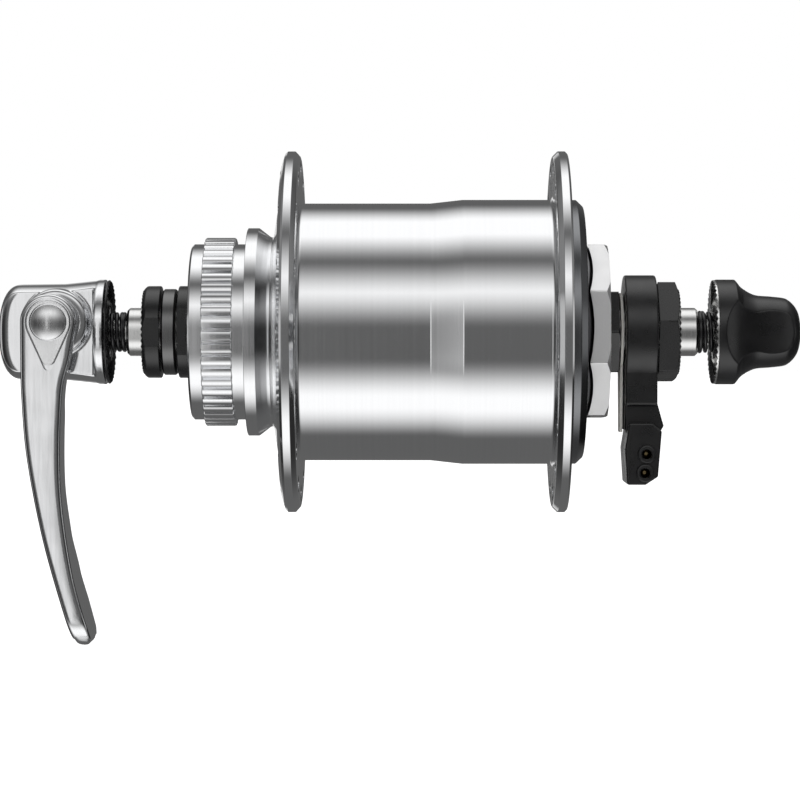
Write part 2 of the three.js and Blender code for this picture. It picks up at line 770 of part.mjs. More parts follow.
function qrNut() {
  const n = NUT;
  const grip = spline(
    [[n.rimRight, n.r], [61.8, 8.2], [64.1, 6.95], [67, 6.65], [69.7, 6.3], [71.5, 5], [n.end - 0.2, 2.8]],
    9,
  );
  const outside = [[n.seat, n.insertR + GAP], [n.seat, n.r], ...grip, [n.end, 2], [n.end, 0]];
  const inside = [
    [n.blind, 0],
    [n.blind, n.bore],
    [LOCK_RING.right + GAP, n.bore],
    [LOCK_RING.right + GAP, LOCK_RING.room],
    [LOCK_RING.left - GAP, LOCK_RING.room],
    [LOCK_RING.left - GAP, n.bore],
    [n.pocket, n.bore],
    [n.pocket, n.pocketR],
    [INSERT.right + GAP, n.pocketR],
    [INSERT.right + GAP, n.insertR + GAP],
  ];
  const scoop = solid(new THREE.CylinderGeometry(SCOOP.r, SCOOP.r, 30, LARGE).rotateX(Math.PI / 2));
  const reach = SCOOP.r + SCOOP.depthY;
  const made = turned([...outside, ...inside])
    .subtract(scoop.translate([SCOOP.x, -reach, 0]))
    .subtract(scoop.translate([SCOOP.x, reach, 0]));
  return mesh("qr_nut", made, BLACK_PLASTIC);
}

// ---------- assembly ----------

const fixed = group(
  axle(),
  leftLocknut(),
  mesh("left_spacer", tube(SPACER.left, SPACER.right, ON_AXLE, SPACER.r), BLACK_METAL),
  leftCone(),
  rightCone(),
  insulatingPlate(),
  connectorBody(),
  terminalBlock(),
  terminalPin("terminal_pin_upper", SOCKETS.upper),
  terminalPin("terminal_pin_lower", SOCKETS.lower),
  rightLocknut(),
  mesh("stator_core", tube(BOBBIN.left, BOBBIN.right, ON_AXLE, STATOR.coreR), IRON),
  clawPlate("claw_plate_left", STATOR.left, [STATOR.left, BOBBIN.right - 0.1], 0),
  clawPlate("claw_plate_right", STATOR.right - STATOR.plate, [BOBBIN.left + 0.1, STATOR.right], 0.5),
  coilBobbin(),
  coilWinding(),
  coilLead(),
  statorNut(),
  mesh("right_spring", coilSpring({ x: 54.3, r: 3.6 }, { x: 59.4, r: 3.1 }, 3, 0.42), BLACK_METAL),
);

const turning = group(
  hubShell(),
  endCap(),
  capCollar(),
  mesh("yoke_ring", tube(RING.left, RING.right, RING.yokeR, RING.yokeOuterR), IRON),
  mesh("magnet_ring", tube(RING.left, RING.right, RING.magnetR, RING.magnetOuterR), FERRITE),
  bearingCup("left_bearing_cup", BALL.leftX, -1),
  bearingCup("right_bearing_cup", BALL.rightX, 1),
  dustSeal("left_dust_seal", BALL.leftX, -1),
  dustSeal("right_dust_seal", BALL.rightX, 1),
);

const bearings = group(
  ballRetainer("left_ball_retainer", BALL.leftX, -1),
  balls("left_ball_", BALL.leftX),
  ballRetainer("right_ball_retainer", BALL.rightX, 1),
  balls("right_ball_", BALL.rightX),
);

const skewer = group(
  qrHousing(),
  mesh("qr_seat_ring", tube(SEAT_RING.left, SEAT_RING.right, SEAT_RING.inner, SEAT_RING.outer), BLACK_METAL),
  mesh("left_spring", coilSpring({ x: -59, r: 3.1 }, { x: -53.8, r: 3.35 }, 3, 0.42), BLACK_METAL),
  camShaft(),
  qrLever(),
  leverInset(),
  leverDome(),
  skewerRod(),
  qrNut(),
  mesh("nut_insert", tube(NUT.seat, INSERT.right, INSERT.inner, NUT.insertR), STEEL),
  mesh("nut_lock_ring", tube(LOCK_RING.left, LOCK_RING.right, NUT.bore, LOCK_RING.r), NYLON),
);

export default group(fixed, turning, bearings, skewer);
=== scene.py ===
"""Looks of a front wheel generator hub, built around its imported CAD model.

Metres, X along the axle towards the connector, Z up. Outlines below are written in millimetres and
scaled once, where a mesh is made. Round pieces turn about the X axis.
"""
import math

import bmesh
import bpy
from mathutils import Matrix, Vector


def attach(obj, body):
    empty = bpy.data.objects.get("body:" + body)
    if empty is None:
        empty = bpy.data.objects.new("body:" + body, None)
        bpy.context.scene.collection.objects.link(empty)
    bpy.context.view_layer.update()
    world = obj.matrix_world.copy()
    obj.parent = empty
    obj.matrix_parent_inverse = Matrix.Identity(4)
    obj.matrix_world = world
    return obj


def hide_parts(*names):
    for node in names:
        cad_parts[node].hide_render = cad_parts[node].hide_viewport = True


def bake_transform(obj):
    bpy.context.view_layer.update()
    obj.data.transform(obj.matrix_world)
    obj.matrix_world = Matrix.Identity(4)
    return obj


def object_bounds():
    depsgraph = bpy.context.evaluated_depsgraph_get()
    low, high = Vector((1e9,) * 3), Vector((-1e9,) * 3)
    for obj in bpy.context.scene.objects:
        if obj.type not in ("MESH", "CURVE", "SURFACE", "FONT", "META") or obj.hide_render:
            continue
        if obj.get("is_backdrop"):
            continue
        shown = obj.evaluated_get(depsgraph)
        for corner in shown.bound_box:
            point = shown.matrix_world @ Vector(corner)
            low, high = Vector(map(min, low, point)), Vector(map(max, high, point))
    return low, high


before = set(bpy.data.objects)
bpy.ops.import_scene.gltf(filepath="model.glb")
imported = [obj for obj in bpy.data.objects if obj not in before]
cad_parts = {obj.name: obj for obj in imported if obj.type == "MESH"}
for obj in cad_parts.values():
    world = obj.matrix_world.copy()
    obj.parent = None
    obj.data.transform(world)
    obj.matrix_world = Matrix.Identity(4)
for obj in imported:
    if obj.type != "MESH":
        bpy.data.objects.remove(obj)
CAD_LOW, CAD_HIGH = (Vector(corner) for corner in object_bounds())

MM = 0.001
FINE = 192  # segments round a large turned piece
MEDIUM = 96
SMALL = 48
PIVOT = (-66.6, 1.8)  # X and Z of the lever's pin, which lies along Y


# ---------- outlines ----------
# An outline is a closed list of (u, v) points; a third value is that corner's own fillet radius.


def arc(centre, radius, start, end, steps):
    """Points of an arc, in degrees from the first axis towards the second."""
    points = []
    for i in range(steps + 1):
        angle = math.radians(start + (end - start) * i / steps)
        points.append((centre[0] + radius * math.cos(angle), centre[1] + radius * math.sin(angle)))
    return points


def filleted(outline, radius, steps=4):
    """The outline with each corner rounded, as far as its two sides allow."""
    points = []
    for i, corner in enumerate(outline):
        here = Vector(corner[:2])
        before = Vector(outline[i - 1][:2]) - here
        after = Vector(outline[(i + 1) % len(outline)][:2]) - here
        wanted = corner[2] if len(corner) > 2 else radius
        turn = math.pi - before.angle(after, math.pi)
        if wanted <= 0 or turn < math.radians(2):
            points.append(tuple(here))
            continue
        reach = min(wanted * math.tan(turn / 2), 0.45 * before.length, 0.45 * after.length)
        first = here + before.normalized() * reach
        last = here + after.normalized() * reach
        for k in range(steps + 1):
            t = k / steps
            points.append(tuple(first * (1 - t) ** 2 + here * 2 * t * (1 - t) + last * t**2))
    return points


def area(outline):
    pairs = zip(outline, outline[1:] + outline[:1])
    return sum(a[0] * b[1] - b[0] * a[1] for a, b in pairs) / 2


def anticlockwise(outline):
    return list(outline) if area(outline) > 0 else list(reversed(outline))


def towards_next(outline, i, step):
    """Direction from point i to the next point, or the one before, that isn't in the same place."""
    here = Vector(outline[i][:2])
    k = i + step
    while (Vector(outline[k % len(outline)][:2]) - here).length < 1e-6:
        k += step
    return (Vector(outline[k % len(outline)][:2]) - here).normalized()


def inset(outline, distance):
    """An anticlockwise outline moved inwards by a distance."""
    moved = []
    for i, point in enumerate(outline):
        here = Vector(point[:2])
        along_in = -towards_next(outline, i, -1)
        along_out = towards_next(outline, i, 1)
        inwards_in = Vector((-along_in.y, along_in.x))
        inwards_out = Vector((-along_out.y, along_out.x))
        middle = inwards_in + inwards_out
        scale = 2 / max(middle.length_squared, 0.5)
        moved.append(tuple(here + middle * scale * distance))
    return moved


def smooth_path(points, steps):
    """A Catmull-Rom curve through the points, with the same number of steps between each two."""
    vectors = [Vector(p) for p in points]
    padded = [2 * vectors[0] - vectors[1]] + vectors + [2 * vectors[-1] - vectors[-2]]
    path = []
    for i in range(1, len(padded) - 2):
        p0, p1, p2, p3 = padded[i - 1 : i + 3]
        for k in range(steps):
            t = k / steps
            path.append(
                0.5 * (2 * p1 + (p2 - p0) * t + (2 * p0 - 5 * p1 + 4 * p2 - p3) * t**2
                       + (3 * p1 - p0 - 3 * p2 + p3) * t**3)
            )
    return path + [vectors[-1]]


def regular(sides, apothem, turn):
    return arc((0, 0), apothem / math.cos(math.pi / sides), turn, turn + 360, sides)[:sides]


# ---------- shapes: each returns (points, faces) ----------


def lathe(outline, segments):
    """A closed outline of (x, radius) points turned about the X axis."""
    loop = anticlockwise(outline)
    points = []
    for x, r in (p[:2] for p in loop):
        for k in range(segments):
            angle = 2 * math.pi * k / segments
            points.append((x, r * math.cos(angle), r * math.sin(angle)))
    faces = []
    rows = len(loop)
    for i in range(rows):
        here, there = i * segments, (i + 1) % rows * segments
        if max(points[here][1], points[there][1]) < 1e-9:
            continue  # this side of the outline lies on the axis
        for k in range(segments):
            nxt = (k + 1) % segments
            faces.append((here + k, here + nxt, there + nxt, there + k))
    return points, faces


def lathe_y(outline, place, segments):
    """A closed outline of (y, radius) points turned about a line along Y through (x, z)."""
    points, faces = lathe(outline, segments)
    return [(place[0] + y, x, place[1] + z) for x, y, z in points], faces


def prism(outline, low, high, edge=0.0, steps=3):
    """An outline of (y, z) points drawn out along X, with rounded end edges."""
    loop = anticlockwise([p[:2] for p in outline])
    rings = []
    if edge:
        bend = [math.pi / 2 * k / steps for k in range(steps + 1)]
        rings += [(low + edge * (1 - math.sin(a)), edge * (1 - math.cos(a))) for a in reversed(bend)]
        rings += [(high - edge * (1 - math.sin(a)), edge * (1 - math.cos(a))) for a in bend]
    else:
        rings = [(low, 0), (high, 0)]
    count = len(loop)
    points, faces = [], []
    for x, distance in rings:
        points += [(x, y, z) for y, z in (inset(loop, distance) if distance else loop)]
    for i in range(len(rings) - 1):
        for k in range(count):
            nxt = (k + 1) % count
            faces.append((i * count + k, i * count + nxt, (i + 1) * count + nxt, (i + 1) * count + k))
    faces.append(tuple(reversed(range(count))))
    faces.append(tuple(range((len(rings) - 1) * count, len(rings) * count)))
    return points, faces


def prism_y(outline, front, back, edge=0.0, steps=3):
    """An outline of (x, z) points drawn out along Y."""
    points, faces = prism(outline, front, back, edge, steps)
    return [(y, x, z) for x, y, z in points], faces


def block(low, high):
    """A plain cutting block."""
    (x0, y0, z0), (x1, y1, z1) = low, high
    return prism([(y0, z0), (y1, z0), (y1, z1), (y0, z1)], x0, x1)


def joined(*shapes):
    points, faces = [], []
    for more, rim in shapes:
        start = len(points)
        points += more
        faces += [tuple(start + i for i in face) for face in rim]
    return points, faces


def about_x(shape, degrees):
    turn = Matrix.Rotation(math.radians(degrees), 3, "X")
    return [tuple(turn @ Vector(p)) for p in shape[0]], shape[1]


def repeated(shape, count, offset=0.0):
    return joined(*(about_x(shape, 360 * (i + offset) / count) for i in range(count)))


def coil(start, end, turns, wire_r, sides=14, steps=40):
    """A conical spring about X, closed and thinned at its ends; start and end hold (x, radius)."""
    total = int(turns * steps)
    points, faces = [], []
    for i in range(total + 1):
        t = i / total
        rise = min(max((t - 0.12) / 0.76, 0.0), 1.0)
        angle = 2 * math.pi * turns * t
        radius = start[1] + (end[1] - start[1]) * t
        x = start[0] + (end[0] - start[0]) * rise
        taper = min(1.0, 0.55 + 9 * min(t, 1 - t))
        for k in range(sides):
            around = 2 * math.pi * k / sides
            r = radius + wire_r * taper * math.cos(around)
            points.append((x + wire_r * taper * math.sin(around), r * math.cos(angle), r * math.sin(angle)))
    for i in range(total):
        for k in range(sides):
            nxt = (k + 1) % sides
            faces.append((i * sides + k, i * sides + nxt, (i + 1) * sides + nxt, (i + 1) * sides + k))
    faces.append(tuple(reversed(range(sides))))
    faces.append(tuple(range(total * sides, (total + 1) * sides)))
    return points, faces


def screw(left, right, radius, pitch, depth, segments=40, rows_per_pitch=8):
    """A threaded rod about X; the thread runs out smoothly at both ends."""
    rows = int((right - left) / pitch * rows_per_pitch)
    points, faces = [(left, 0, 0)], []
    for i in range(rows + 1):
        x = left + (right - left) * i / rows
        fade = min(1.0, (x - left) / pitch, (right - x) / pitch)
        for k in range(segments):
            phase = (x / pitch - k / segments) % 1.0
            ridge = min(1.0, max(0.0, 2.2 * abs(2 * phase - 1) - 0.6))
            r = radius - depth * (1 - ridge) * fade - 0.3 * depth * (1 - fade)
            angle = 2 * math.pi * k / segments
            points.append((x, r * math.cos(angle), r * math.sin(angle)))
    for i in range(rows):
        for k in range(segments):
            nxt = (k + 1) % segments
            a, b = 1 + i * segments, 1 + (i + 1) * segments
            faces.append((a + k, a + nxt, b + nxt, b + k))
    last = 1 + rows * segments
    points.append((right, 0, 0))
    for k in range(segments):
        nxt = (k + 1) % segments
        faces.append((0, 1 + nxt, 1 + k))
        faces.append((len(points) - 1, last + k, last + nxt))
    return points, faces


def radial_teeth(root_x, tip_x, inner, outer, count):
    """A ring of wedge teeth on an end face, rising from root_x to tip_x, as on a serrated washer."""
    base = root_x - (tip_x - root_x)
    rounds = ((inner, 0.9), (inner + 0.12 * (outer - inner), 1.0), (outer - 0.1, 1.0), (outer, 0.55))
    points, faces = [], []
    for r, height in rounds:
        for k in range(2 * count):
            angle = math.pi * k / count
            x = root_x + (tip_x - root_x) * height * (k % 2)
            points.append((x, r * math.cos(angle), r * math.sin(angle)))
    rows = len(rounds)
    ring = 2 * count
    for r in (inner, outer):
        for k in range(ring):
            angle = math.pi * k / count
            points.append((base, r * math.cos(angle), r * math.sin(angle)))
    inner_base, outer_base = rows * ring, (rows + 1) * ring
    for k in range(ring):
        nxt = (k + 1) % ring
        for i in range(rows - 1):
            faces.append((i * ring + k, i * ring + nxt, (i + 1) * ring + nxt, (i + 1) * ring + k))
        faces.append((inner_base + k, inner_base + nxt, nxt, k))
        top = (rows - 1) * ring
        faces.append((top + k, top + nxt, outer_base + nxt, outer_base + k))
        faces.append((inner_base + nxt, inner_base + k, outer_base + k, outer_base + nxt))
    return points, faces


# ---------- objects ----------


def raw_object(name, shape):
    """A mesh object from a shape in millimetres, its faces turned outwards."""
    mesh = bpy.data.meshes.new(name)
    mesh.from_pydata([Vector(p) * MM for p in shape[0]], [], shape[1])
    made = bmesh.new()
    made.from_mesh(mesh)
    bmesh.ops.remove_doubles(made, verts=made.verts, dist=2e-7)
    bmesh.ops.dissolve_degenerate(made, edges=made.edges, dist=1e-7)
    bmesh.ops.recalc_face_normals(made, faces=made.faces)
    made.to_mesh(mesh)
    made.free()
    thing = bpy.data.objects.new(name, mesh)
    bpy.context.scene.collection.objects.link(thing)
    return thing


def bake_modifiers(thing):
    """Applies the modifiers, so that the piece's own mesh holds its final shape."""
    graph = bpy.context.evaluated_depsgraph_get()
    final = bpy.data.meshes.new_from_object(thing.evaluated_get(graph))
    thing.modifiers.clear()
    thing.data = final


def combine(thing, shape, operation):
    """Joins a shape to the object, cuts it away, or keeps only what both hold."""
    tool = raw_object("tool", shape)
    step = thing.modifiers.new("combine", "BOOLEAN")
    step.operation = operation
    step.solver = "MANIFOLD"
    step.object = tool
    bake_modifiers(thing)
    bpy.data.objects.remove(tool)
    return thing


def soften(thing, voxel, rounds):
    """Rounds every edge of a cast or moulded piece: an even fine mesh, then smoothing."""
    remesh = thing.modifiers.new("remesh", "REMESH")
    remesh.mode = "VOXEL"
    remesh.voxel_size = voxel * MM
    smooth = thing.modifiers.new("smooth", "SMOOTH")
    smooth.factor = 0.5
    smooth.iterations = rounds
    bake_modifiers(thing)
    return thing


def bevelled(thing, width, angle=35, segments=3):
    bevel = thing.modifiers.new("bevel", "BEVEL")
    bevel.width = width * MM
    bevel.segments = segments
    bevel.limit_method = "ANGLE"
    bevel.angle_limit = math.radians(angle)
    bevel.miter_outer = "MITER_ARC"
    bake_modifiers(thing)
    return thing


def finished(thing, body, slot, material, *nodes, crease=32, weighted=True):
    """Shades the piece, gives it its material and its body, and hides the CAD nodes it stands for."""
    mesh = thing.data
    mesh.materials.clear()
    mesh.materials.append(material)
    mesh.shade_smooth()
    if crease:
        mesh.set_sharp_from_angle(angle=math.radians(crease))
    if weighted:
        normals = thing.modifiers.new("normals", "WEIGHTED_NORMAL")
        normals.keep_sharp = True
        bake_modifiers(thing)
    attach(thing, body)
    if nodes:
        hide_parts(*nodes)
    return thing


SMOOTH = {"crease": None, "weighted": False}
SERRATED = {"crease": 20, "weighted": False}


def piece(name, shape, body, slot, material, *nodes, **shading):
    return finished(raw_object(name, shape), body, slot, material, *nodes, **shading)


# ---------- materials ----------


def node_in(tree, kind, **settings):
    made = tree.nodes.new(kind)
    for key, value in settings.items():
        setattr(made, key, value)
    return made


def maths_in(tree, operation, *values):
    """A maths node whose values are numbers or other nodes' outputs."""
    made = node_in(tree, "ShaderNodeMath", operation=operation)
    for socket, value in zip(made.inputs, values):
        if isinstance(value, (int, float)):
            socket.default_value = value
        else:
            tree.links.new(value, socket)
    return made.outputs[0]


class Surface:
    """A node material: a metal or plastic whose colour, roughness and relief follow procedural grain."""

    def __init__(self, name, color, metallic, roughness):
        self.material = bpy.data.materials.new(name)
        self.material.use_nodes = True
        self.material.diffuse_color = (*color, 1)
        self.tree = self.material.node_tree
        self.shader = self.tree.nodes["Principled BSDF"]
        self.shader.inputs["Metallic"].default_value = metallic
        self.color = color
        self.roughness = roughness
        self.place = self.node("ShaderNodeTexCoord").outputs["Object"]
        self.relief = None

    def node(self, kind, **settings):
        return node_in(self.tree, kind, **settings)

    def link(self, source, target):
        self.tree.links.new(source, target)

    def maths(self, operation, *values):
        return maths_in(self.tree, operation, *values)

    def mix(self, first, share, second):
        """The first value's share and the rest from the second."""
        parts = self.maths("MULTIPLY", first, share), self.maths("MULTIPLY", second, 1 - share)
        return self.maths("ADD", *parts)

    def round_coordinates(self):
        """(x, distance from the axle, 0), on which grain runs round the axle, as turning leaves it."""
        parts = self.node("ShaderNodeSeparateXYZ")
        self.link(self.place, parts.inputs[0])
        _, y, z = parts.outputs
        squares = self.maths("MULTIPLY", y, y), self.maths("MULTIPLY", z, z)
        radius = self.maths("SQRT", self.maths("ADD", *squares))
        put = self.node("ShaderNodeCombineXYZ")
        self.link(parts.outputs[0], put.inputs[0])
        self.link(radius, put.inputs[1])
        return put.outputs[0]

    def stretched(self, scale):
        """Object coordinates stretched along the axes with small factors, for drawn or brushed grain."""
        mapping = self.node("ShaderNodeMapping")
        mapping.inputs["Scale"].default_value = scale
        self.link(self.place, mapping.inputs["Vector"])
        return mapping.outputs[0]

    def noise(self, scale, detail=3.0, coordinates=None, roughness=0.55):
        made = self.node("ShaderNodeTexNoise")
        made.inputs["Scale"].default_value = scale
        made.inputs["Detail"].default_value = detail
        made.inputs["Roughness"].default_value = roughness
        self.link(coordinates or self.place, made.inputs["Vector"])
        return made.outputs["Fac"]

    def spread(self, value, low, high):
        made = self.node("ShaderNodeMapRange")
        made.inputs["From Min"].default_value = 0.3
        made.inputs["From Max"].default_value = 0.7
        made.inputs["To Min"].default_value = low
        made.inputs["To Max"].default_value = high
        self.link(value, made.inputs["Value"])
        return made.outputs[0]

    def tint(self, value, darker, lighter):
        """Colour that goes from darker to lighter times the base colour as value rises."""
        ramp = self.node("ShaderNodeValToRGB")
        low, high = ramp.color_ramp.elements
        low.position, high.position = 0.3, 0.7
        low.color = (*(c * darker for c in self.color), 1)
        high.color = (*(min(c * lighter, 1.0) for c in self.color), 1)
        self.link(value, ramp.inputs["Fac"])
        self.link(ramp.outputs["Color"], self.shader.inputs["Base Color"])

    def rough(self, value, spread):
        self.link(
            self.spread(value, self.roughness * (1 - spread), self.roughness * (1 + spread)),
            self.shader.inputs["Roughness"],
        )

    def bump(self, value, strength, distance):
        made = self.node("ShaderNodeBump")
        made.inputs["Strength"].default_value = strength
        made.inputs["Distance"].default_value = distance * MM
        self.link(value, made.inputs["Height"])
        if self.relief:
            self.link(self.relief, made.inputs["Normal"])
        self.relief = made.outputs["Normal"]
        self.link(self.relief, self.shader.inputs["Normal"])


def turned_metal(name, color, roughness, relief, tone=0.06):
    """Metal with fine rings left by the lathe, and faint smudges."""
    made = Surface(name, color, 1.0, roughness)
    rings = made.noise(2600, 4, made.round_coordinates(), 0.7)
    smudges = made.noise(70, 4)
    made.tint(rings, 1 - tone, 1 + tone)
    made.rough(made.mix(rings, 0.6, smudges), 0.3)
    made.bump(rings, relief, 0.02)
    return made.material


def polished_metal(name, color, roughness, tone=0.05):
    """Hand-polished forging: nearly mirror-like, with slow unevenness and hairline scratches."""
    made = Surface(name, color, 1.0, roughness)
    slow = made.noise(160, 3)
    hairs = made.noise(1500, 3, made.stretched((1.0, 1.0, 0.06)), 0.6)
    made.tint(slow, 1 - tone, 1 + tone)
    made.rough(made.mix(hairs, 0.6, slow), 0.35)
    made.bump(slow, 0.03, 0.03)
    made.bump(hairs, 0.004, 0.01)
    return made.material


def blasted_metal(name, color, roughness, grain, tone=0.05):
    """Matt metal with an even fine grain."""
    made = Surface(name, color, 1.0, roughness)
    fine = made.noise(grain, 3)
    slow = made.noise(120, 3)
    made.tint(made.mix(fine, 0.5, slow), 1 - tone, 1 + tone)
    made.rough(slow, 0.15)
    made.bump(fine, 0.25, 0.02)
    return made.material


def black_coated(name, color, roughness, grain, relief):
    """Black steel or plastic: satin, with the grain of its coating or its mould and a few lighter rubs."""
    made = Surface(name, color, 0.0, roughness)
    made.shader.inputs["Specular IOR Level"].default_value = 0.75
    fine = made.noise(grain, 3)
    slow = made.noise(220, 4)
    made.tint(slow, 0.75, 1.35)
    made.rough(slow, 0.2)
    made.bump(fine, relief, 0.03)
    return made.material


def dull_solid(name, color, metallic, roughness, grain, relief=0.2, tone=0.12):
    """Inner pieces: iron, ferrite, nylon, rubber and the like, each with a mottled tone of its own."""
    made = Surface(name, color, metallic, roughness)
    fine = made.noise(grain, 4)
    made.tint(fine, 1 - tone, 1 + tone)
    made.rough(made.noise(150, 3), 0.2)
    made.bump(fine, relief, 0.03)
    return made.material


def wound_copper(name, color):
    """Enamelled wire in layers: turns lie side by side along the coil."""
    made = Surface(name, color, 0.9, 0.32)
    rings = made.node("ShaderNodeTexWave", wave_type="BANDS", bands_direction="X")
    rings.inputs["Scale"].default_value = 320
    rings.inputs["Distortion"].default_value = 0.4
    made.link(made.place, rings.inputs["Vector"])
    made.tint(rings.outputs["Fac"], 0.7, 1.15)
    made.rough(made.noise(300, 3), 0.2)
    made.bump(rings.outputs["Fac"], 0.6, 0.05)
    return made.material


SHELL_METAL = turned_metal("turned_aluminium", (0.9, 0.905, 0.915), 0.09, 0.006, 0.02)
SPLINE_METAL = turned_metal("broached_aluminium", (0.9, 0.905, 0.915), 0.1, 0.005, 0.02)
# The end cap is bright turned aluminium like the shell; its dark base colour is painted shade, standing in
# for the dim reflections on its faces.
CAP_METAL = turned_metal("cap_aluminium_painted_shade", (0.25, 0.255, 0.265), 0.22, 0.02, 0.05)
COLLAR_METAL = blasted_metal("blasted_collar", (0.98, 0.98, 0.985), 0.42, 3500, 0.02)
LEVER_METAL = polished_metal("polished_lever", (0.88, 0.885, 0.895), 0.11, 0.02)
BLADE_METAL = polished_metal("polished_blade", (0.9, 0.905, 0.915), 0.13, 0.015)
INSET_METAL = blasted_metal("satin_inset", (0.96, 0.965, 0.97), 0.16, 5000, 0.02)
DOME_METAL = polished_metal("dome_chrome", (0.97, 0.975, 0.98), 0.32, 0.02)
STEEL = turned_metal("bright_steel", (0.84, 0.84, 0.83), 0.2, 0.03, 0.05)
DARK_STEEL = turned_metal("dark_steel", (0.2, 0.2, 0.2), 0.28, 0.02, 0.05)
SERRATED_STEEL = turned_metal("serrated_steel", (0.95, 0.95, 0.94), 0.15, 0.02, 0.03)
BEARING = polished_metal("bearing_steel", (0.83, 0.84, 0.85), 0.07)
BLACK_STEEL = black_coated("black_oxide", (0.005, 0.005, 0.0055), 0.26, 2600, 0.06)
SPRING_BLACK = black_coated("phosphated_spring", (0.008, 0.008, 0.009), 0.22, 3500, 0.06)
CONNECTOR_BLACK = black_coated("moulded_connector", (0.006, 0.006, 0.0065), 0.3, 1700, 0.1)
NUT_BLACK = black_coated("satin_nut", (0.005, 0.005, 0.0055), 0.3, 2200, 0.05)
PALE_PLATE = dull_solid("pale_plate", (0.86, 0.84, 0.79), 0.0, 0.5, 900, 0.1, 0.06)
# The contact brass is darkened: painted shade, standing in for the shade deep inside the socket holes.
BRASS = turned_metal("contact_brass", (0.5, 0.38, 0.19), 0.3, 0.06)
IRON = dull_solid("pressed_iron", (0.36, 0.36, 0.37), 1.0, 0.45, 700)
FERRITE = dull_solid("ground_ferrite", (0.09, 0.09, 0.1), 0.0, 0.55, 1200)
COPPER = wound_copper("wound_copper", (0.72, 0.33, 0.14))
BOBBIN = dull_solid("natural_bobbin", (0.8, 0.76, 0.64), 0.0, 0.5, 500, 0.08, 0.05)
RUBBER = dull_solid("seal_rubber", (0.022, 0.022, 0.024), 0.0, 0.6, 1600, 0.25)
NYLON = dull_solid("natural_nylon", (0.8, 0.8, 0.75), 0.0, 0.45, 500, 0.05, 0.04)


# ---------- hub shell and what turns with it ----------

RIM_R = 33.7
BARREL_R = 24.0
BARREL_WIDE_R = 24.67
CAVITY_R = 22.2
SPOKE_CIRCLE = 30.25
SPOKE_HOLE_R = 1.3
SPOKES = 16
TEETH = 48
LEFT_FLANGE = (-24.0, -20.6)
RIGHT_FLANGE = (26.3, 29.0)
BEARING_BORE = 13.3
WEB_R = 9.6


def shell_outline():
    left_outer, left_inner = LEFT_FLANGE
    right_inner, right_outer = RIGHT_FLANGE
    outside = [
        (-40.8, BEARING_BORE),
        (-40.8, 16.0),
        (-40.4, 16.4),
        (-30.4, 16.4, 0.25),
        (-30.4, 19.4),
        (-28.3, 19.4),
        (-25.6, 17.3, 0.9),
        (left_outer - 1.2, 19.4, 1.2),
        (left_outer - 0.12, 26.5, 2),
        (left_outer, RIM_R - 2.7, 3),
        (left_outer + 0.7, RIM_R - 0.4),
        (left_outer + 1.15, RIM_R),
        (left_inner - 0.9, RIM_R, 0.2),
        (left_inner, RIM_R - 1, 0.5),
        (left_inner, BARREL_R, 0.9),
        (3.6, BARREL_R, 3),
        (9.6, BARREL_WIDE_R, 3),
        (right_inner, BARREL_WIDE_R, 0.9),
        (right_inner, RIM_R - 1, 0.5),
        (right_inner + 1, RIM_R, 0.2),
        (right_outer - 0.4, RIM_R),
        (right_outer, RIM_R - 0.4),
        (right_outer, CAVITY_R),
    ]
    inside = [
        (-18.4, CAVITY_R),
        (-20.5, 20),
        (-23, 14),
        (-30, 14),
        (-30, WEB_R),
        (-32.7, WEB_R),
        (-32.7, BEARING_BORE),
    ]
    return filleted(outside + inside, 0.16)


def spoke_cutters(left, right, offset):
    """Countersunk holes through one flange."""
    flare = 0.5
    profile = [
        (left - 1, 0),
        (left - 1, SPOKE_HOLE_R + flare + 1),
        (left + flare, SPOKE_HOLE_R),
        (right - flare, SPOKE_HOLE_R),
        (right + 1, SPOKE_HOLE_R + flare + 1),
        (right + 1, 0),
    ]
    points, faces = lathe(profile, 24)
    hole = [(x, y, z + SPOKE_CIRCLE) for x, y, z in points], faces
    return repeated(hole, SPOKES, offset)


def spline_ring():
    """The teeth that the brake rotor slides over, with eased crests and ends."""
    pitch = 360 / TEETH
    outline = []
    for i in range(TEETH):
        start = i * pitch
        for k in range(7):
            across = k / 6
            radius = 17.6 - 0.11 * (2 * across - 1) ** 2
            angle = math.radians(start + 0.64 * pitch * across)
            outline.append((radius * math.cos(angle), radius * math.sin(angle), 0))
        outline += [(*p, 0.1) for p in arc((0, 0), 16.6, start + 0.74 * pitch, start + 0.9 * pitch, 1)]
    return prism(filleted(outline, 0.1, 3), -38.3, -32.6, 0.3, 3)


def hub_shell():
    shell = raw_object("shell", lathe(shell_outline(), FINE))
    combine(shell, spoke_cutters(*LEFT_FLANGE, 0), "DIFFERENCE")
    combine(shell, spoke_cutters(*RIGHT_FLANGE, 0.5), "DIFFERENCE")
    finished(shell, "hub", "shell_aluminium", SHELL_METAL, "hub_shell")
    ring = raw_object("rotor_spline", spline_ring())
    combine(ring, lathe([(-39, 0), (-39, 15.5), (-32, 15.5), (-32, 0)], MEDIUM), "DIFFERENCE")
    finished(ring, "hub", "shell_aluminium", SPLINE_METAL, crease=24)


def end_cap():
    outline = [
        (24.6, WEB_R),
        (24.6, CAVITY_R - 0.3),
        (29.3, CAVITY_R - 0.3),
        (29.3, 24.65),
        (30.7, 24.65, 0.3),
        (32, 23.4, 0.5),
        (32, 17.6, 0.3),
        (33.4, 15.2, 0.3),
        (33.4, BEARING_BORE),
        (27.2, BEARING_BORE),
        (27.2, WEB_R),
    ]
    piece("cap_cover", lathe(filleted(outline, 0.15), FINE), "hub", "cap_aluminium", CAP_METAL, "end_cap")


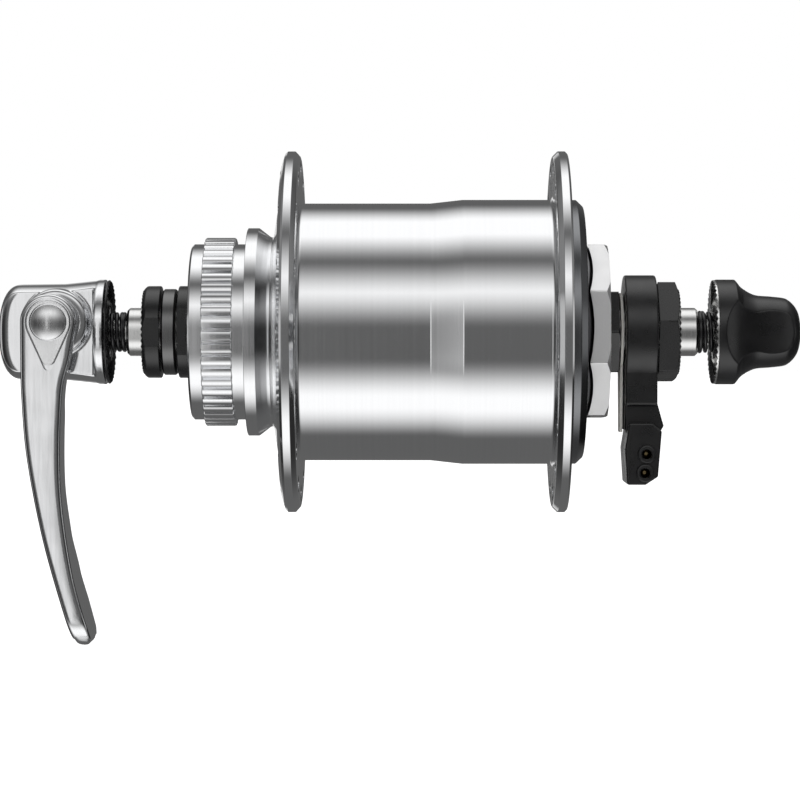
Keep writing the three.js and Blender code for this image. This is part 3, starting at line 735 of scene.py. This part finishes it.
def cap_collar():
    """The eight-sided wrench collar; its left side follows the cone of the cap."""
    right, apothem = 36.5, 15.85
    corner = apothem / math.cos(math.pi / 8)
    collar = raw_object("wrench_collar", prism(filleted(regular(8, apothem, 154.2), 0.5, 5), 32.3, right))
    room = [
        (31, 0),
        (31, 20.6),
        (32.4, 20.6),
        (32.4, 17.6),
        (33.8, 15.2),
        (33.8, BEARING_BORE + 0.3),
        (35.7, BEARING_BORE + 0.3),
        (35.7, WEB_R),
        (37.5, WEB_R),
        (37.5, 0),
    ]
    chamfer = [(31, 0), (31, 20)]
    chamfer += [(right - 1.5, corner + 1), (right - 0.75, corner), (right, corner - 0.85), (right, 0)]
    combine(collar, lathe(chamfer, FINE), "INTERSECT")
    combine(collar, lathe(room, FINE), "DIFFERENCE")
    bevelled(collar, 0.13)
    finished(collar, "hub", "collar_aluminium", COLLAR_METAL, "cap_collar")


def bearing_seal(name, ball_x, side):
    """A lipped ring that closes the bearing, seen between the cone and the shell."""
    outline = [(3.3, 9.65), (3.3, 13), (4.3, 13), (4.3, 12.4)]
    outline += [(4.05, 12.2), (4.05, 10.6), (4.35, 10.3), (4.3, 9.05)]
    placed = [(ball_x + side * away, r) for away, r in outline]
    shape = lathe(filleted(placed, 0.15), MEDIUM)
    piece(name + "_seal_ring", shape, "hub", "seal_rubber", RUBBER, name + "_dust_seal")


def bearing_balls(name, ball_x):
    for i in range(9):
        half = arc((0, 0), 2.38, 0, 180, 20)
        points, faces = lathe(half, 40)
        ball = about_x(([(ball_x + x, y, z + 9.2) for x, y, z in points], faces), 40 * i)
        node = f"{name}_ball_{i + 1}"
        piece(f"{node}_fine", ball, name + "_balls", "bearing_steel", BEARING, node, crease=None)


# ---------- axle and what is clamped on it ----------


def axle():
    outline = [(-53, 2.8), (-53, 4.05), (-52.5, 4.5), (53, 4.5), (53.5, 4.05), (53.5, 2.8)]
    shaft = raw_object("hollow_axle", lathe(filleted(outline, 0.12), MEDIUM))
    combine(shaft, block((21.5, -0.95, -6), (44.5, 0.95, -3.25)), "DIFFERENCE")
    finished(shaft, "axle_group", "plain_steel", STEEL, "axle")


def left_stack():
    """Round locknut with flats and a serrated face, the spacer behind it, and the cone's collar."""
    outline = [(-49.75, 4.8), (-49.75, 8.1), (-49.2, 8.6, 0.6), (-46.6, 8.6), (-46.6, 4.8)]
    nut = raw_object("left_nut", lathe(filleted(outline, 0.25), MEDIUM))
    combine(nut, block((-51, -8.2, -9), (-46, 8.2, 9)), "INTERSECT")
    bevelled(nut, 0.12)
    finished(nut, "axle_group", "black_steel", BLACK_STEEL, "left_locknut")
    teeth = radial_teeth(-49.72, -50, 5.3, 7.9, 44)
    piece("left_nut_teeth", teeth, "axle_group", "black_steel", BLACK_STEEL, **SERRATED)

    spacer = [(-46.3, 4.8), (-46.3, 7.7), (-46, 8.05), (-44, 8.05), (-43.6, 7.7), (-43.6, 4.8)]
    washer = lathe(filleted(spacer, 0.2), MEDIUM)
    piece("left_washer", washer, "axle_group", "black_steel", DARK_STEEL, "left_spacer")

    cone = [
        (-43.3, 4.8),
        (-43.3, 8.6),
        (-41.4, 8.6),
        (-41.4, 8.73, 0),
        *[(-36.5 - x, r, 0) for x, r in arc((0, 9.2), 2.68, -10, -90, 12)],
        (-34.5, 6.52),
        (-34.5, 4.8),
    ]
    collar = raw_object("left_cone_fine", lathe(filleted(cone, 0.2), MEDIUM))
    for side in (-1, 1):
        near, far = sorted((side * 7.5, side * 10))
        combine(collar, block((-44, near, -10), (-41.6, far, 10)), "DIFFERENCE")
    bevelled(collar, 0.1)
    finished(collar, "axle_group", "black_steel", BLACK_STEEL, "left_cone")


def right_cone():
    nose = [
        (36.7, 4.8),
        (36.7, 8.73),
        *[(31 + x, r, 0) for x, r in arc((0, 9.2), 2.68, -10, -90, 12)],
        (29, 6.52),
        (29, 4.8),
    ]
    piece("right_cone_nose", lathe(filleted(nose, 0.15), MEDIUM), "axle_group", "black_steel", BLACK_STEEL)
    head = raw_object("right_cone_head", prism(filleted(regular(6, 7.5, 60), 0.5), 36.6, 38.6))
    chamfer = [(36, 0), (36, 7.9), (36.9, 8.9), (38.1, 8.9), (39.2, 7.6), (39.2, 0)]
    combine(head, lathe(chamfer, MEDIUM), "INTERSECT")
    combine(head, lathe([(36, 0), (36, 4.8), (39, 4.8), (39, 0)], SMALL), "DIFFERENCE")
    bevelled(head, 0.12)
    finished(head, "axle_group", "black_steel", BLACK_STEEL, "right_cone")


def right_nut():
    apothem = 8.5
    corner = apothem / math.cos(math.pi / 6)
    nut = raw_object("right_nut", prism(filleted(regular(6, apothem, 168), 0.35), 45.9, 49.75))
    cone = [(45, 0), (45, corner + 0.2), (49, corner + 0.2), (49.75, apothem - 0.35), (49.75, 0)]
    combine(nut, lathe(cone, FINE), "INTERSECT")
    combine(nut, lathe([(45, 0), (45, 4.8), (51, 4.8), (51, 0)], MEDIUM), "DIFFERENCE")
    bevelled(nut, 0.14)
    finished(nut, "axle_group", "black_steel", BLACK_STEEL, "right_locknut")
    teeth = radial_teeth(49.72, 50, 5.3, 8.0, 44)
    piece("right_nut_teeth", teeth, "axle_group", "black_steel", BLACK_STEEL, **SERRATED)


# ---------- electrical connector ----------

SOCKETS = ((43.5, -22.5), (43.2, -26))  # X and Z of the two contacts


def connector():
    ring = lathe(filleted([(39.7, 4.8), (39.7, 10.6), (45.6, 10.6), (45.6, 4.8)], 0.45), MEDIUM)
    section = [(-7.5, -13.8, 1.1), (7.5, -13.8, 1.1), (7.5, -4, 0.3), (-7.5, -4, 0.3)]
    arm = prism(filleted(section, 0.3), 39.7, 45.6, 0.4)
    neck = [(39.7, -12.8), (39.6, -18.3), (46.4, -18.3), (46.9, -17.4), (46.6, -16.4), (45.6, -12.8)]
    neck_shape = prism_y(filleted(neck, 0.4), -5.6, 7.5, 0.4)
    body = raw_object("connector_case", ring)
    combine(body, arm, "UNION")
    combine(body, neck_shape, "UNION")
    combine(body, lathe([(39, 0), (39, 4.8), (46.5, 4.8), (46.5, 0)], MEDIUM), "DIFFERENCE")
    finished(body, "axle_group", "connector_plastic", CONNECTOR_BLACK, "connector_body")

    side = [(40.3, -16.8), (44.6, -16.8), (46.3, -18.3), (45.6, -26.7)]
    side += [(43.3, -28.2), (39.9, -28.2), (39.5, -21.7)]
    case = raw_object("socket_block", prism_y(filleted(side, 0.45), -9, 5, 0.4, 2))
    for place in SOCKETS:
        boss = filleted([(-9.7, 0, 0), (-9.7, 1.7, 0.35), (-8, 1.7, 0), (-8, 0, 0)], 0)
        combine(case, lathe_y(boss, place, SMALL), "UNION")
    for place in SOCKETS:
        hole = [(-10.5, 0), (-10.5, 1.9), (-9.5, 0.9), (-0.5, 0.9), (-0.5, 0)]
        combine(case, lathe_y(hole, place, SMALL), "DIFFERENCE")
    finished(case, "axle_group", "connector_plastic", CONNECTOR_BLACK, "terminal_block")

    for name, place in zip(("upper", "lower"), SOCKETS):
        pin = [(-6.9, 0), (-6.9, 0.3), (-6.6, 0.6), (-1.3, 0.6), (-1.3, 0)]
        contact = lathe_y(pin, place, 24)
        piece(f"contact_{name}", contact, "axle_group", "contact_brass", BRASS, f"terminal_pin_{name}")


def insulating_plate():
    left, right = 38.9, 39.4
    disc = lathe(filleted([(left, 4.8), (left, 7.3), (right, 7.3), (right, 4.8)], 0.1), MEDIUM)
    tab = filleted([(-4, -6), (-2.5, -18.7, 0.6), (2.5, -18.7, 0.6), (4, -6)], 0.2)
    plate = raw_object("pale_insulator", disc)
    combine(plate, prism(tab, left, right, 0.08), "UNION")
    finished(plate, "axle_group", "pale_plate", PALE_PLATE, "insulating_plate")


# ---------- quick-release skewer ----------


def on_pivot(outline):
    """Outline points given from the lever's pin, moved to where it is."""
    return [(PIVOT[0] + p[0], PIVOT[1] + p[1], *p[2:]) for p in outline]


def housing():
    """The cast body that holds the cam: a round-ended barrel with flat cheeks and a boss for the pin."""
    power = 2 / 2.5
    dome = []
    for i in range(17):
        angle = math.pi / 2 * i / 16
        dome.append((-72.5 - 4.4 * math.cos(angle) ** power, 8.9 * math.sin(angle) ** power, 0))
    outline = dome + [(-64.6, 9), (-61.6, 9.3, 3), (-57.5, 9.75), (-57.5, 0, 0)]
    body = raw_object("cam_housing", lathe(filleted(outline, 0.3), FINE))
    half = [(x, z) for x, z, _ in dome[1:]]
    side = [(x, -z) for x, z in half[::-1]] + [dome[0][:2]] + half
    combine(body, prism_y(side + [(-50, 10), (-50, -10)], -5, 5, 2, 8), "INTERSECT")
    flange = [(-58.7, 0, 0), (-58.7, 9.6), (-58.2, 9.8), (-56.9, 9.8), (-56.9, 0, 0)]
    combine(body, lathe(filleted(flange, 0.2), FINE), "UNION")
    boss = filleted([(-8.3, 0, 0), (-8.3, 6.2, 1.3), (7, 6.2), (7, 0, 0)], 0.5)
    combine(body, lathe_y(boss, (PIVOT[0] + 0.9, PIVOT[1]), FINE), "UNION")
    combine(body, lathe_y([(-9.3, 0), (-9.3, 4), (8, 4), (8, 0)], PIVOT, MEDIUM), "DIFFERENCE")
    combine(body, block((-72.9, -3.3, -4.2), (-56, 3.3, 7.8)), "DIFFERENCE")
    combine(body, lathe([(-59.6, 0), (-59.6, 4.2), (-56, 4.2), (-56, 0)], MEDIUM), "DIFFERENCE")
    soften(body, 0.15, 6)
    finished(body, "skewer_housing", "lever_aluminium", LEVER_METAL, "qr_housing", **SMOOTH)


def seat_ring():
    """The black serrated ring that bites on the fork end."""
    outline = [(-56.6, 5.2), (-56.6, 9.7), (-56.3, 9.7), (-56.2, 9.4), (-56.2, 5.2)]
    ring = joined(lathe(filleted(outline, 0.15), MEDIUM), radial_teeth(-56.28, -56, 5.5, 9.45, 40))
    thing = raw_object("clamp_ring", ring)
    finished(thing, "skewer_housing", "black_steel", BLACK_STEEL, "qr_seat_ring", crease=25, weighted=False)


def cam_shaft():
    place = PIVOT
    off_centre = (PIVOT[0] - 0.7, PIVOT[1])
    front = filleted([(-8.3, 0, 0), (-8.3, 3.7), (-3.2, 3.7), (-3.2, 0, 0)], 0.2)
    back = filleted([(3.2, 0, 0), (3.2, 3.7), (6.6, 3.7), (6.6, 0, 0)], 0.3)
    shaft = raw_object("cam", lathe_y(front, place, MEDIUM))
    combine(shaft, lathe_y([(-3.4, 0), (-3.4, 3), (3.4, 3), (3.4, 0)], off_centre, MEDIUM), "UNION")
    combine(shaft, lathe_y(back, place, MEDIUM), "UNION")
    combine(shaft, lathe_y([(-10.6, 0), (-10.6, 2.3), (-8.2, 2.3), (-8.2, 0)], place, MEDIUM), "UNION")
    finished(shaft, "lever", "plain_steel", STEEL, "cam_shaft")


def teardrop(radius, tip, tip_r):
    """A round-headed outline about the pin that narrows to a rounded tip below it."""
    slope = math.degrees(math.asin((radius - tip_r) / (tip - tip_r)))
    head = arc((0, 0), radius, -slope, 180 + slope, 40)
    return on_pivot(head + arc((0, tip_r - tip), tip_r, 180 + slope, 360 - slope, 12))


LEVER_FRONT = -12.0
LEVER_HEAD_R = 5.2
LEVER_EDGE_R = 0.8  # rounding between the lever's front face and its sides
LEVER_BACK_EDGE_R = 0.6
RECESS_FLOOR = -10.9
INSET_FRONT = -11.95
INSET_BACK = -11.2


def lever_rails():
    """Left and right edges of the lever's face, in pairs from the top of its head to its tip."""
    (x, z), r = PIVOT, LEVER_HEAD_R
    head = 24
    angles = [math.pi / 2 * i / head for i in range(head)]
    left = [(x - r * math.sin(a), z + r * math.cos(a)) for a in angles]
    right = [(2 * x - u, v) for u, v in left]
    tip = (-60.3, -57.9)
    left_edge = [(x - r, z), (-71.75, -5), (-71.6, -12), (-70.6, -23.5), (-67.6, -38.9), (-63.2, -54.3)]
    left_edge += [(-62, -56.9), (-61.3, -57.7), tip]
    right_edge = [(x + r, z), (-62.6, -5), (-64.1, -12), (-64.35, -28.4), (-62.3, -44.2), (-59.35, -55.2)]
    right_edge += [(-59.2, -56.9), (-59.55, -57.7), tip]
    left += [tuple(p) for p in smooth_path(left_edge, 14)]
    right += [tuple(p) for p in smooth_path(right_edge, 14)]
    return left, right


def lever_back(z):
    """Depth of the lever's rear face at a height: thick under the head, widening into the paddle."""
    stations = [(12, -8.6), (-7.2, -8.6), (-9.6, -5.6), (-12.5, -5.2), (-16, -3.6), (-22, -3.3)]
    stations += [(-28, -3.2), (-37, -1.5), (-44.5, 2.2), (-50, 3.7), (-55, 2.8), (-58.5, -1)]
    for (z0, y0), (z1, y1) in zip(stations, stations[1:]):
        if z >= z1:
            t = (z - z0) / (z1 - z0)
            return y0 + (y1 - y0) * t * t * (3 - 2 * t)
    return stations[-1][1]


def lever_front(z, across):
    """Depth of the front face: slightly crowned below the head, and drawn back at the tip."""
    below = min(max((-9 - z) / 12, 0.0), 1.0)
    crown = 0.015 * below * (2 * across - 1) ** 2
    tip = max(0.0, (-52.5 - z) / 5.5)
    return LEVER_FRONT + crown + 3.2 * tip * tip


def lever_shape():
    """A skin over the two rails: crowned front, flat sides, shaped back and rounded long edges."""
    left, right = lever_rails()
    rows = len(left)
    outline = left + right[::-1]
    turned = area(outline) > 0
    loop = outline if turned else outline[::-1]
    columns, bends, sides = 14, 6, 4
    points, faces = [], []

    def rail_pair(distance):
        moved = inset(loop, distance)
        moved = moved if turned else moved[::-1]
        return moved[:rows], moved[rows:][::-1]

    def add(u, z, y):
        points.append((u, y, z))
        return len(points) - 1

    layers = []
    for front in (True, False):
        edge = LEVER_EDGE_R if front else LEVER_BACK_EDGE_R
        for k in range(bends + 1):
            bend = math.pi / 2 * k / bends
            layers.append((front, edge * (1 - math.sin(bend)), edge * (1 - math.cos(bend))))
    front_layers = layers[: bends + 1]
    back_layers = layers[bends + 1 :][::-1]

    def depth(front, z, across, drop):
        return lever_front(z, across) + drop if front else lever_back(z) - drop

    def between(z, across, share):
        """Depth on the flat side, from the front edge's rounding to the back's."""
        front, back = depth(True, z, across, LEVER_EDGE_R), depth(False, z, across, LEVER_BACK_EDGE_R)
        return front * (1 - share) + back * share

    def ring_at(distance, depth_at):
        """Down the left rail and back up the right one."""
        left_rail, right_rail = rail_pair(distance)
        down = [add(u, z, depth_at(z, 0)) for u, z in left_rail]
        return down + [add(u, z, depth_at(z, 1)) for u, z in right_rail[::-1]]

    # The rings run from the front face over its edge, down the side and over the back edge.
    rings = []
    for front, distance, drop in front_layers:
        rings.append(ring_at(distance, lambda z, across: depth(front, z, across, drop)))
    for k in range(1, sides):
        rings.append(ring_at(0, lambda z, across: between(z, across, k / sides)))
    for front, distance, drop in back_layers:
        rings.append(ring_at(distance, lambda z, across: depth(front, z, across, drop)))
    total = 2 * rows
    for a, b in zip(rings, rings[1:]):
        for k in range(total):
            nxt = (k + 1) % total
            faces.append((a[k], a[nxt], b[nxt], b[k]))
    for front, ring in ((True, rings[0]), (False, rings[-1])):
        grid = []
        for i in range(rows):
            l, r = ring[i], ring[total - 1 - i]
            row = [l]
            for c in range(1, columns):
                t = c / columns
                u = points[l][0] * (1 - t) + points[r][0] * t
                z = points[l][2] * (1 - t) + points[r][2] * t
                row.append(add(u, z, depth(front, z, t, 0)))
            row.append(r)
            grid.append(row)
        for i in range(rows - 1):
            for c in range(columns):
                faces.append((grid[i][c], grid[i][c + 1], grid[i + 1][c + 1], grid[i + 1][c]))
    return points, faces


def lever():
    blade = raw_object("lever_blade", lever_shape())
    recess = prism_y(teardrop(4.25, 8.9, 0.9), LEVER_FRONT - 1, RECESS_FLOOR)
    combine(blade, recess, "DIFFERENCE")
    combine(blade, lathe_y([(-12, 0), (-12, 2.6), (-8, 2.6), (-8, 0)], PIVOT, MEDIUM), "DIFFERENCE")
    finished(blade, "lever", "lever_aluminium", BLADE_METAL, "qr_lever", crease=40)

    shape = prism_y(teardrop(4.0, 7.9, 1.3), INSET_FRONT, INSET_BACK, 0.12)
    inset_plate = raw_object("teardrop_plate", shape)
    combine(inset_plate, lathe_y([(-13, 0), (-13, 3.5), (-10, 3.5), (-10, 0)], PIVOT, FINE), "DIFFERENCE")
    finished(inset_plate, "lever", "inset_aluminium", INSET_METAL, "lever_inset")

    radius, top, skirt = 3.2, -13, -12.05
    sphere_r = (radius**2 + (skirt - top) ** 2) / (2 * (skirt - top))
    half = math.degrees(math.asin(radius / sphere_r))
    cap = arc((top + sphere_r, 0), sphere_r, 180, 180 - half, 14)
    dome = lathe_y(cap + [(INSET_BACK, radius), (INSET_BACK, 0)], PIVOT, MEDIUM)
    piece("dome_head", dome, "lever", "lever_aluminium", DOME_METAL, "lever_dome", crease=50)


def skewer_rod():
    """The pull rod: an eye round the cam, a plain shank and a threaded end for the nut."""
    centre = (PIVOT[0] - 0.7, PIVOT[1])
    circle = arc((0, 0), 1, 0, 360, 48)[:48]
    eye = filleted([(centre[0] + 5.2 * c, centre[1] + 5.6 * s, 0) for c, s in circle], 0)
    slot = [(centre[0] + 3.3 * c, centre[1] + 4.0 * s) for c, s in circle]
    rod = raw_object("pull_rod", prism_y(eye, -2.9, 2.9, 0.4))
    shank = [(centre[0] + 3.6, 0), (centre[0] + 3.6, 2.35), (48, 2.35), (48, 0)]
    combine(rod, lathe(shank, SMALL), "UNION")
    combine(rod, prism_y(slot, -4, 4), "DIFFERENCE")
    finished(rod, "rod", "plain_steel", STEEL, "skewer_rod", crease=40)
    thread = screw(47.9, 68.9, 2.35, 0.8, 0.38)
    piece("rod_thread", thread, "rod", "plain_steel", STEEL, **SMOOTH)


def springs():
    left = coil((-58.4, 3.15), (-53.6, 3.4), 6.5, 0.4)
    piece("left_coil", left, "skewer_housing", "spring_steel", SPRING_BLACK, "left_spring", **SMOOTH)
    right = raw_object("right_coil", coil((53.95, 3.65), (59.35, 3.15), 6.5, 0.4))
    mesh = right.data
    mesh.materials.append(SPRING_BLACK)
    mesh.shade_smooth()
    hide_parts("right_spring")
    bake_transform(right)


def thumb_nut():
    """The black nut: a round rim, a waisted grip and a thumb scoop on each side."""
    grip = [(60.4, 9.8), (60.9, 9.2), (61.8, 8.2), (64.1, 6.95), (67, 6.65)]
    grip += [(69.3, 6.4), (70.3, 6.05), (71.4, 5.1), (72.2, 3.8), (72.65, 2)]
    curve = [tuple(p) for p in smooth_path(grip, 6)]
    outline = [(56.75, 5), (56.75, 9.8)] + curve + [(72.75, 0), (70.8, 0), (70.8, 2.75), (60, 2.75), (60, 5)]
    body = raw_object("thumb_nut", lathe(outline, FINE))
    radius, reach = 14, 19.2
    scoop, faces = lathe_y([(-15, 0), (-15, radius), (15, radius), (15, 0)], (0, 0), FINE)
    for side in (-1, 1):
        combine(body, ([(68.5 + x, side * reach + z, y) for x, y, z in scoop], faces), "DIFFERENCE")
    soften(body, 0.14, 8)
    finished(body, "nut", "nut_plastic", NUT_BLACK, "qr_nut", **SMOOTH)
    ring = lathe(filleted([(56.6, 5.1), (56.6, 9.7), (56.85, 9.7), (56.85, 5.1)], 0.06), MEDIUM)
    teeth = radial_teeth(56.62, 56.2, 5.3, 9.7, 48)
    insert = joined(ring, teeth)
    piece("nut_serration", insert, "nut", "plain_steel", SERRATED_STEEL, "nut_insert", **SERRATED)


hub_shell()
end_cap()
cap_collar()
bearing_seal("left", -36.5, -1)
bearing_seal("right", 31, 1)
bearing_balls("left", -36.5)
bearing_balls("right", 31)
axle()
left_stack()
right_cone()
right_nut()
connector()
insulating_plate()
housing()
seat_ring()
cam_shaft()
lever()
skewer_rod()
springs()
thumb_nut()

# CAD nodes whose own shape is right, hidden inside the hub or the nut, take a better material.
KEPT_NODES = {
    "yoke_ring": IRON,
    "magnet_ring": FERRITE,
    "left_bearing_cup": BEARING,
    "right_bearing_cup": BEARING,
    "left_ball_retainer": STEEL,
    "right_ball_retainer": STEEL,
    "stator_core": IRON,
    "claw_plate_left": IRON,
    "claw_plate_right": IRON,
    "coil_bobbin": BOBBIN,
    "coil_winding": COPPER,
    "coil_lead": COPPER,
    "stator_nut": STEEL,
    "nut_lock_ring": NYLON,
}
for node_name, look in KEPT_NODES.items():
    node_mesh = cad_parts[node_name].data
    node_mesh.materials.clear()
    node_mesh.materials.append(look)


# ---------- floor, light and camera ----------


def floor():
    """A wide pale disc just under the lever's tip."""
    radius, sides = 4.0, 96
    height = CAD_LOW.z - 0.002
    made = bmesh.new()
    place = Matrix.Translation((0, 0, height))
    bmesh.ops.create_circle(made, cap_ends=True, radius=radius, segments=sides, matrix=place)
    mesh = bpy.data.meshes.new("floor")
    made.to_mesh(mesh)
    made.free()
    disc = bpy.data.objects.new("floor", mesh)
    bpy.context.scene.collection.objects.link(disc)
    look = Surface("pale_floor", (0.9, 0.9, 0.9), 0.0, 0.8)
    look.tint(look.noise(3, 2), 0.99, 1.01)
    look.shader.inputs["Emission Color"].default_value = (1, 1, 1, 1)
    look.shader.inputs["Emission Strength"].default_value = 0.88
    mesh.materials.append(look.material)
    disc.visible_glossy = False
    disc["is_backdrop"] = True


# Softboxes run along the axle: direction round it in degrees (0 in front, 90 overhead), width, brightness.
SOFTBOXES = [(105, 45, 1.1), (35, 25, 0.95), (-65, 45, 1.0)]
SOFT_EDGE = 40
FILL = 0.12


def studio():
    """Plain soft light: an overhead softbox, a narrow strip in front of it and a low front softbox over an
    even fill. A pale card stands to the front left and another behind it, and each end has a dim panel."""
    world = bpy.data.worlds.new("studio")
    bpy.context.scene.world = world
    world.use_nodes = True
    tree = world.node_tree
    tree.nodes.clear()

    def node(kind, **settings):
        return node_in(tree, kind, **settings)

    def maths(operation, *values):
        return maths_in(tree, operation, *values)

    def eased(value, start, end):
        made = node("ShaderNodeMapRange", interpolation_type="SMOOTHSTEP")
        made.inputs["From Min"].default_value = start
        made.inputs["From Max"].default_value = end
        tree.links.new(value, made.inputs["Value"])
        return made.outputs[0]

    def near(value, place, width):
        """1 within the width about the place, falling softly to 0 outside it."""
        distance = maths("ABSOLUTE", maths("SUBTRACT", value, place))
        return maths("SUBTRACT", 1.0, eased(distance, (width - SOFT_EDGE) / 2, (width + SOFT_EDGE) / 2))

    direction = node("ShaderNodeTexCoord").outputs["Generated"]
    parts = node("ShaderNodeSeparateXYZ")
    tree.links.new(direction, parts.inputs[0])
    x, y, z = parts.outputs
    turn = maths("DEGREES", maths("ARCTAN2", z, maths("MULTIPLY", y, -1)))
    leftwards = maths("MULTIPLY", x, -1)
    sideways = maths("ABSOLUTE", x)

    level = FILL
    for place, width, brightness in SOFTBOXES:
        level = maths("ADD", maths("MULTIPLY", near(turn, place, width), brightness), level)
    level = maths("MINIMUM", level, 1.1)

    card = maths("SUBTRACT", eased(leftwards, 0.07, 0.1), eased(leftwards, 0.15, 0.25))
    front = maths("MULTIPLY", near(turn, 0, 80), 0.9)
    behind = maths("MULTIPLY", near(maths("ABSOLUTE", turn), 180, 40), 0.8)
    level = maths("MAXIMUM", level, maths("MULTIPLY", card, maths("ADD", front, behind)))

    fade = maths("MULTIPLY", eased(sideways, 0.3, 0.8), 0.8)
    level = maths("MULTIPLY", level, maths("SUBTRACT", 1.0, fade))
    level = maths("MAXIMUM", level, maths("MULTIPLY", eased(sideways, 0.96, 0.99), 0.5))

    lit = node("ShaderNodeBackground")
    tree.links.new(level, lit.inputs["Strength"])
    lit.inputs["Color"].default_value = (1, 1, 1, 1)
    backdrop = node("ShaderNodeBackground")
    backdrop.inputs["Color"].default_value = (1, 1, 1, 1)
    seen = node("ShaderNodeLightPath").outputs["Is Camera Ray"]
    choice = node("ShaderNodeMixShader")
    tree.links.new(seen, choice.inputs[0])
    tree.links.new(lit.outputs[0], choice.inputs[1])
    tree.links.new(backdrop.outputs[0], choice.inputs[2])
    tree.links.new(choice.outputs[0], node("ShaderNodeOutputWorld").inputs["Surface"])


def camera():
    """Level with the axle and in front of it, aimed a little low because the lever hangs down."""
    place = Vector((0.00187, -0.575, 0))
    target = Vector((-0.00206, 0, -0.01273))
    data = bpy.data.cameras.new("camera")
    data.lens = 138.2
    data.sensor_width = 36
    data.clip_start = 0.01
    view = bpy.data.objects.new("camera", data)
    view.location = place
    view.rotation_euler = (target - place).to_track_quat("-Z", "Y").to_euler()
    bpy.context.scene.collection.objects.link(view)
    bpy.context.scene.camera = view


floor()
studio()
camera()
bpy.context.scene.view_settings.view_transform = "Standard"
bpy.context.scene.view_settings.look = "None"
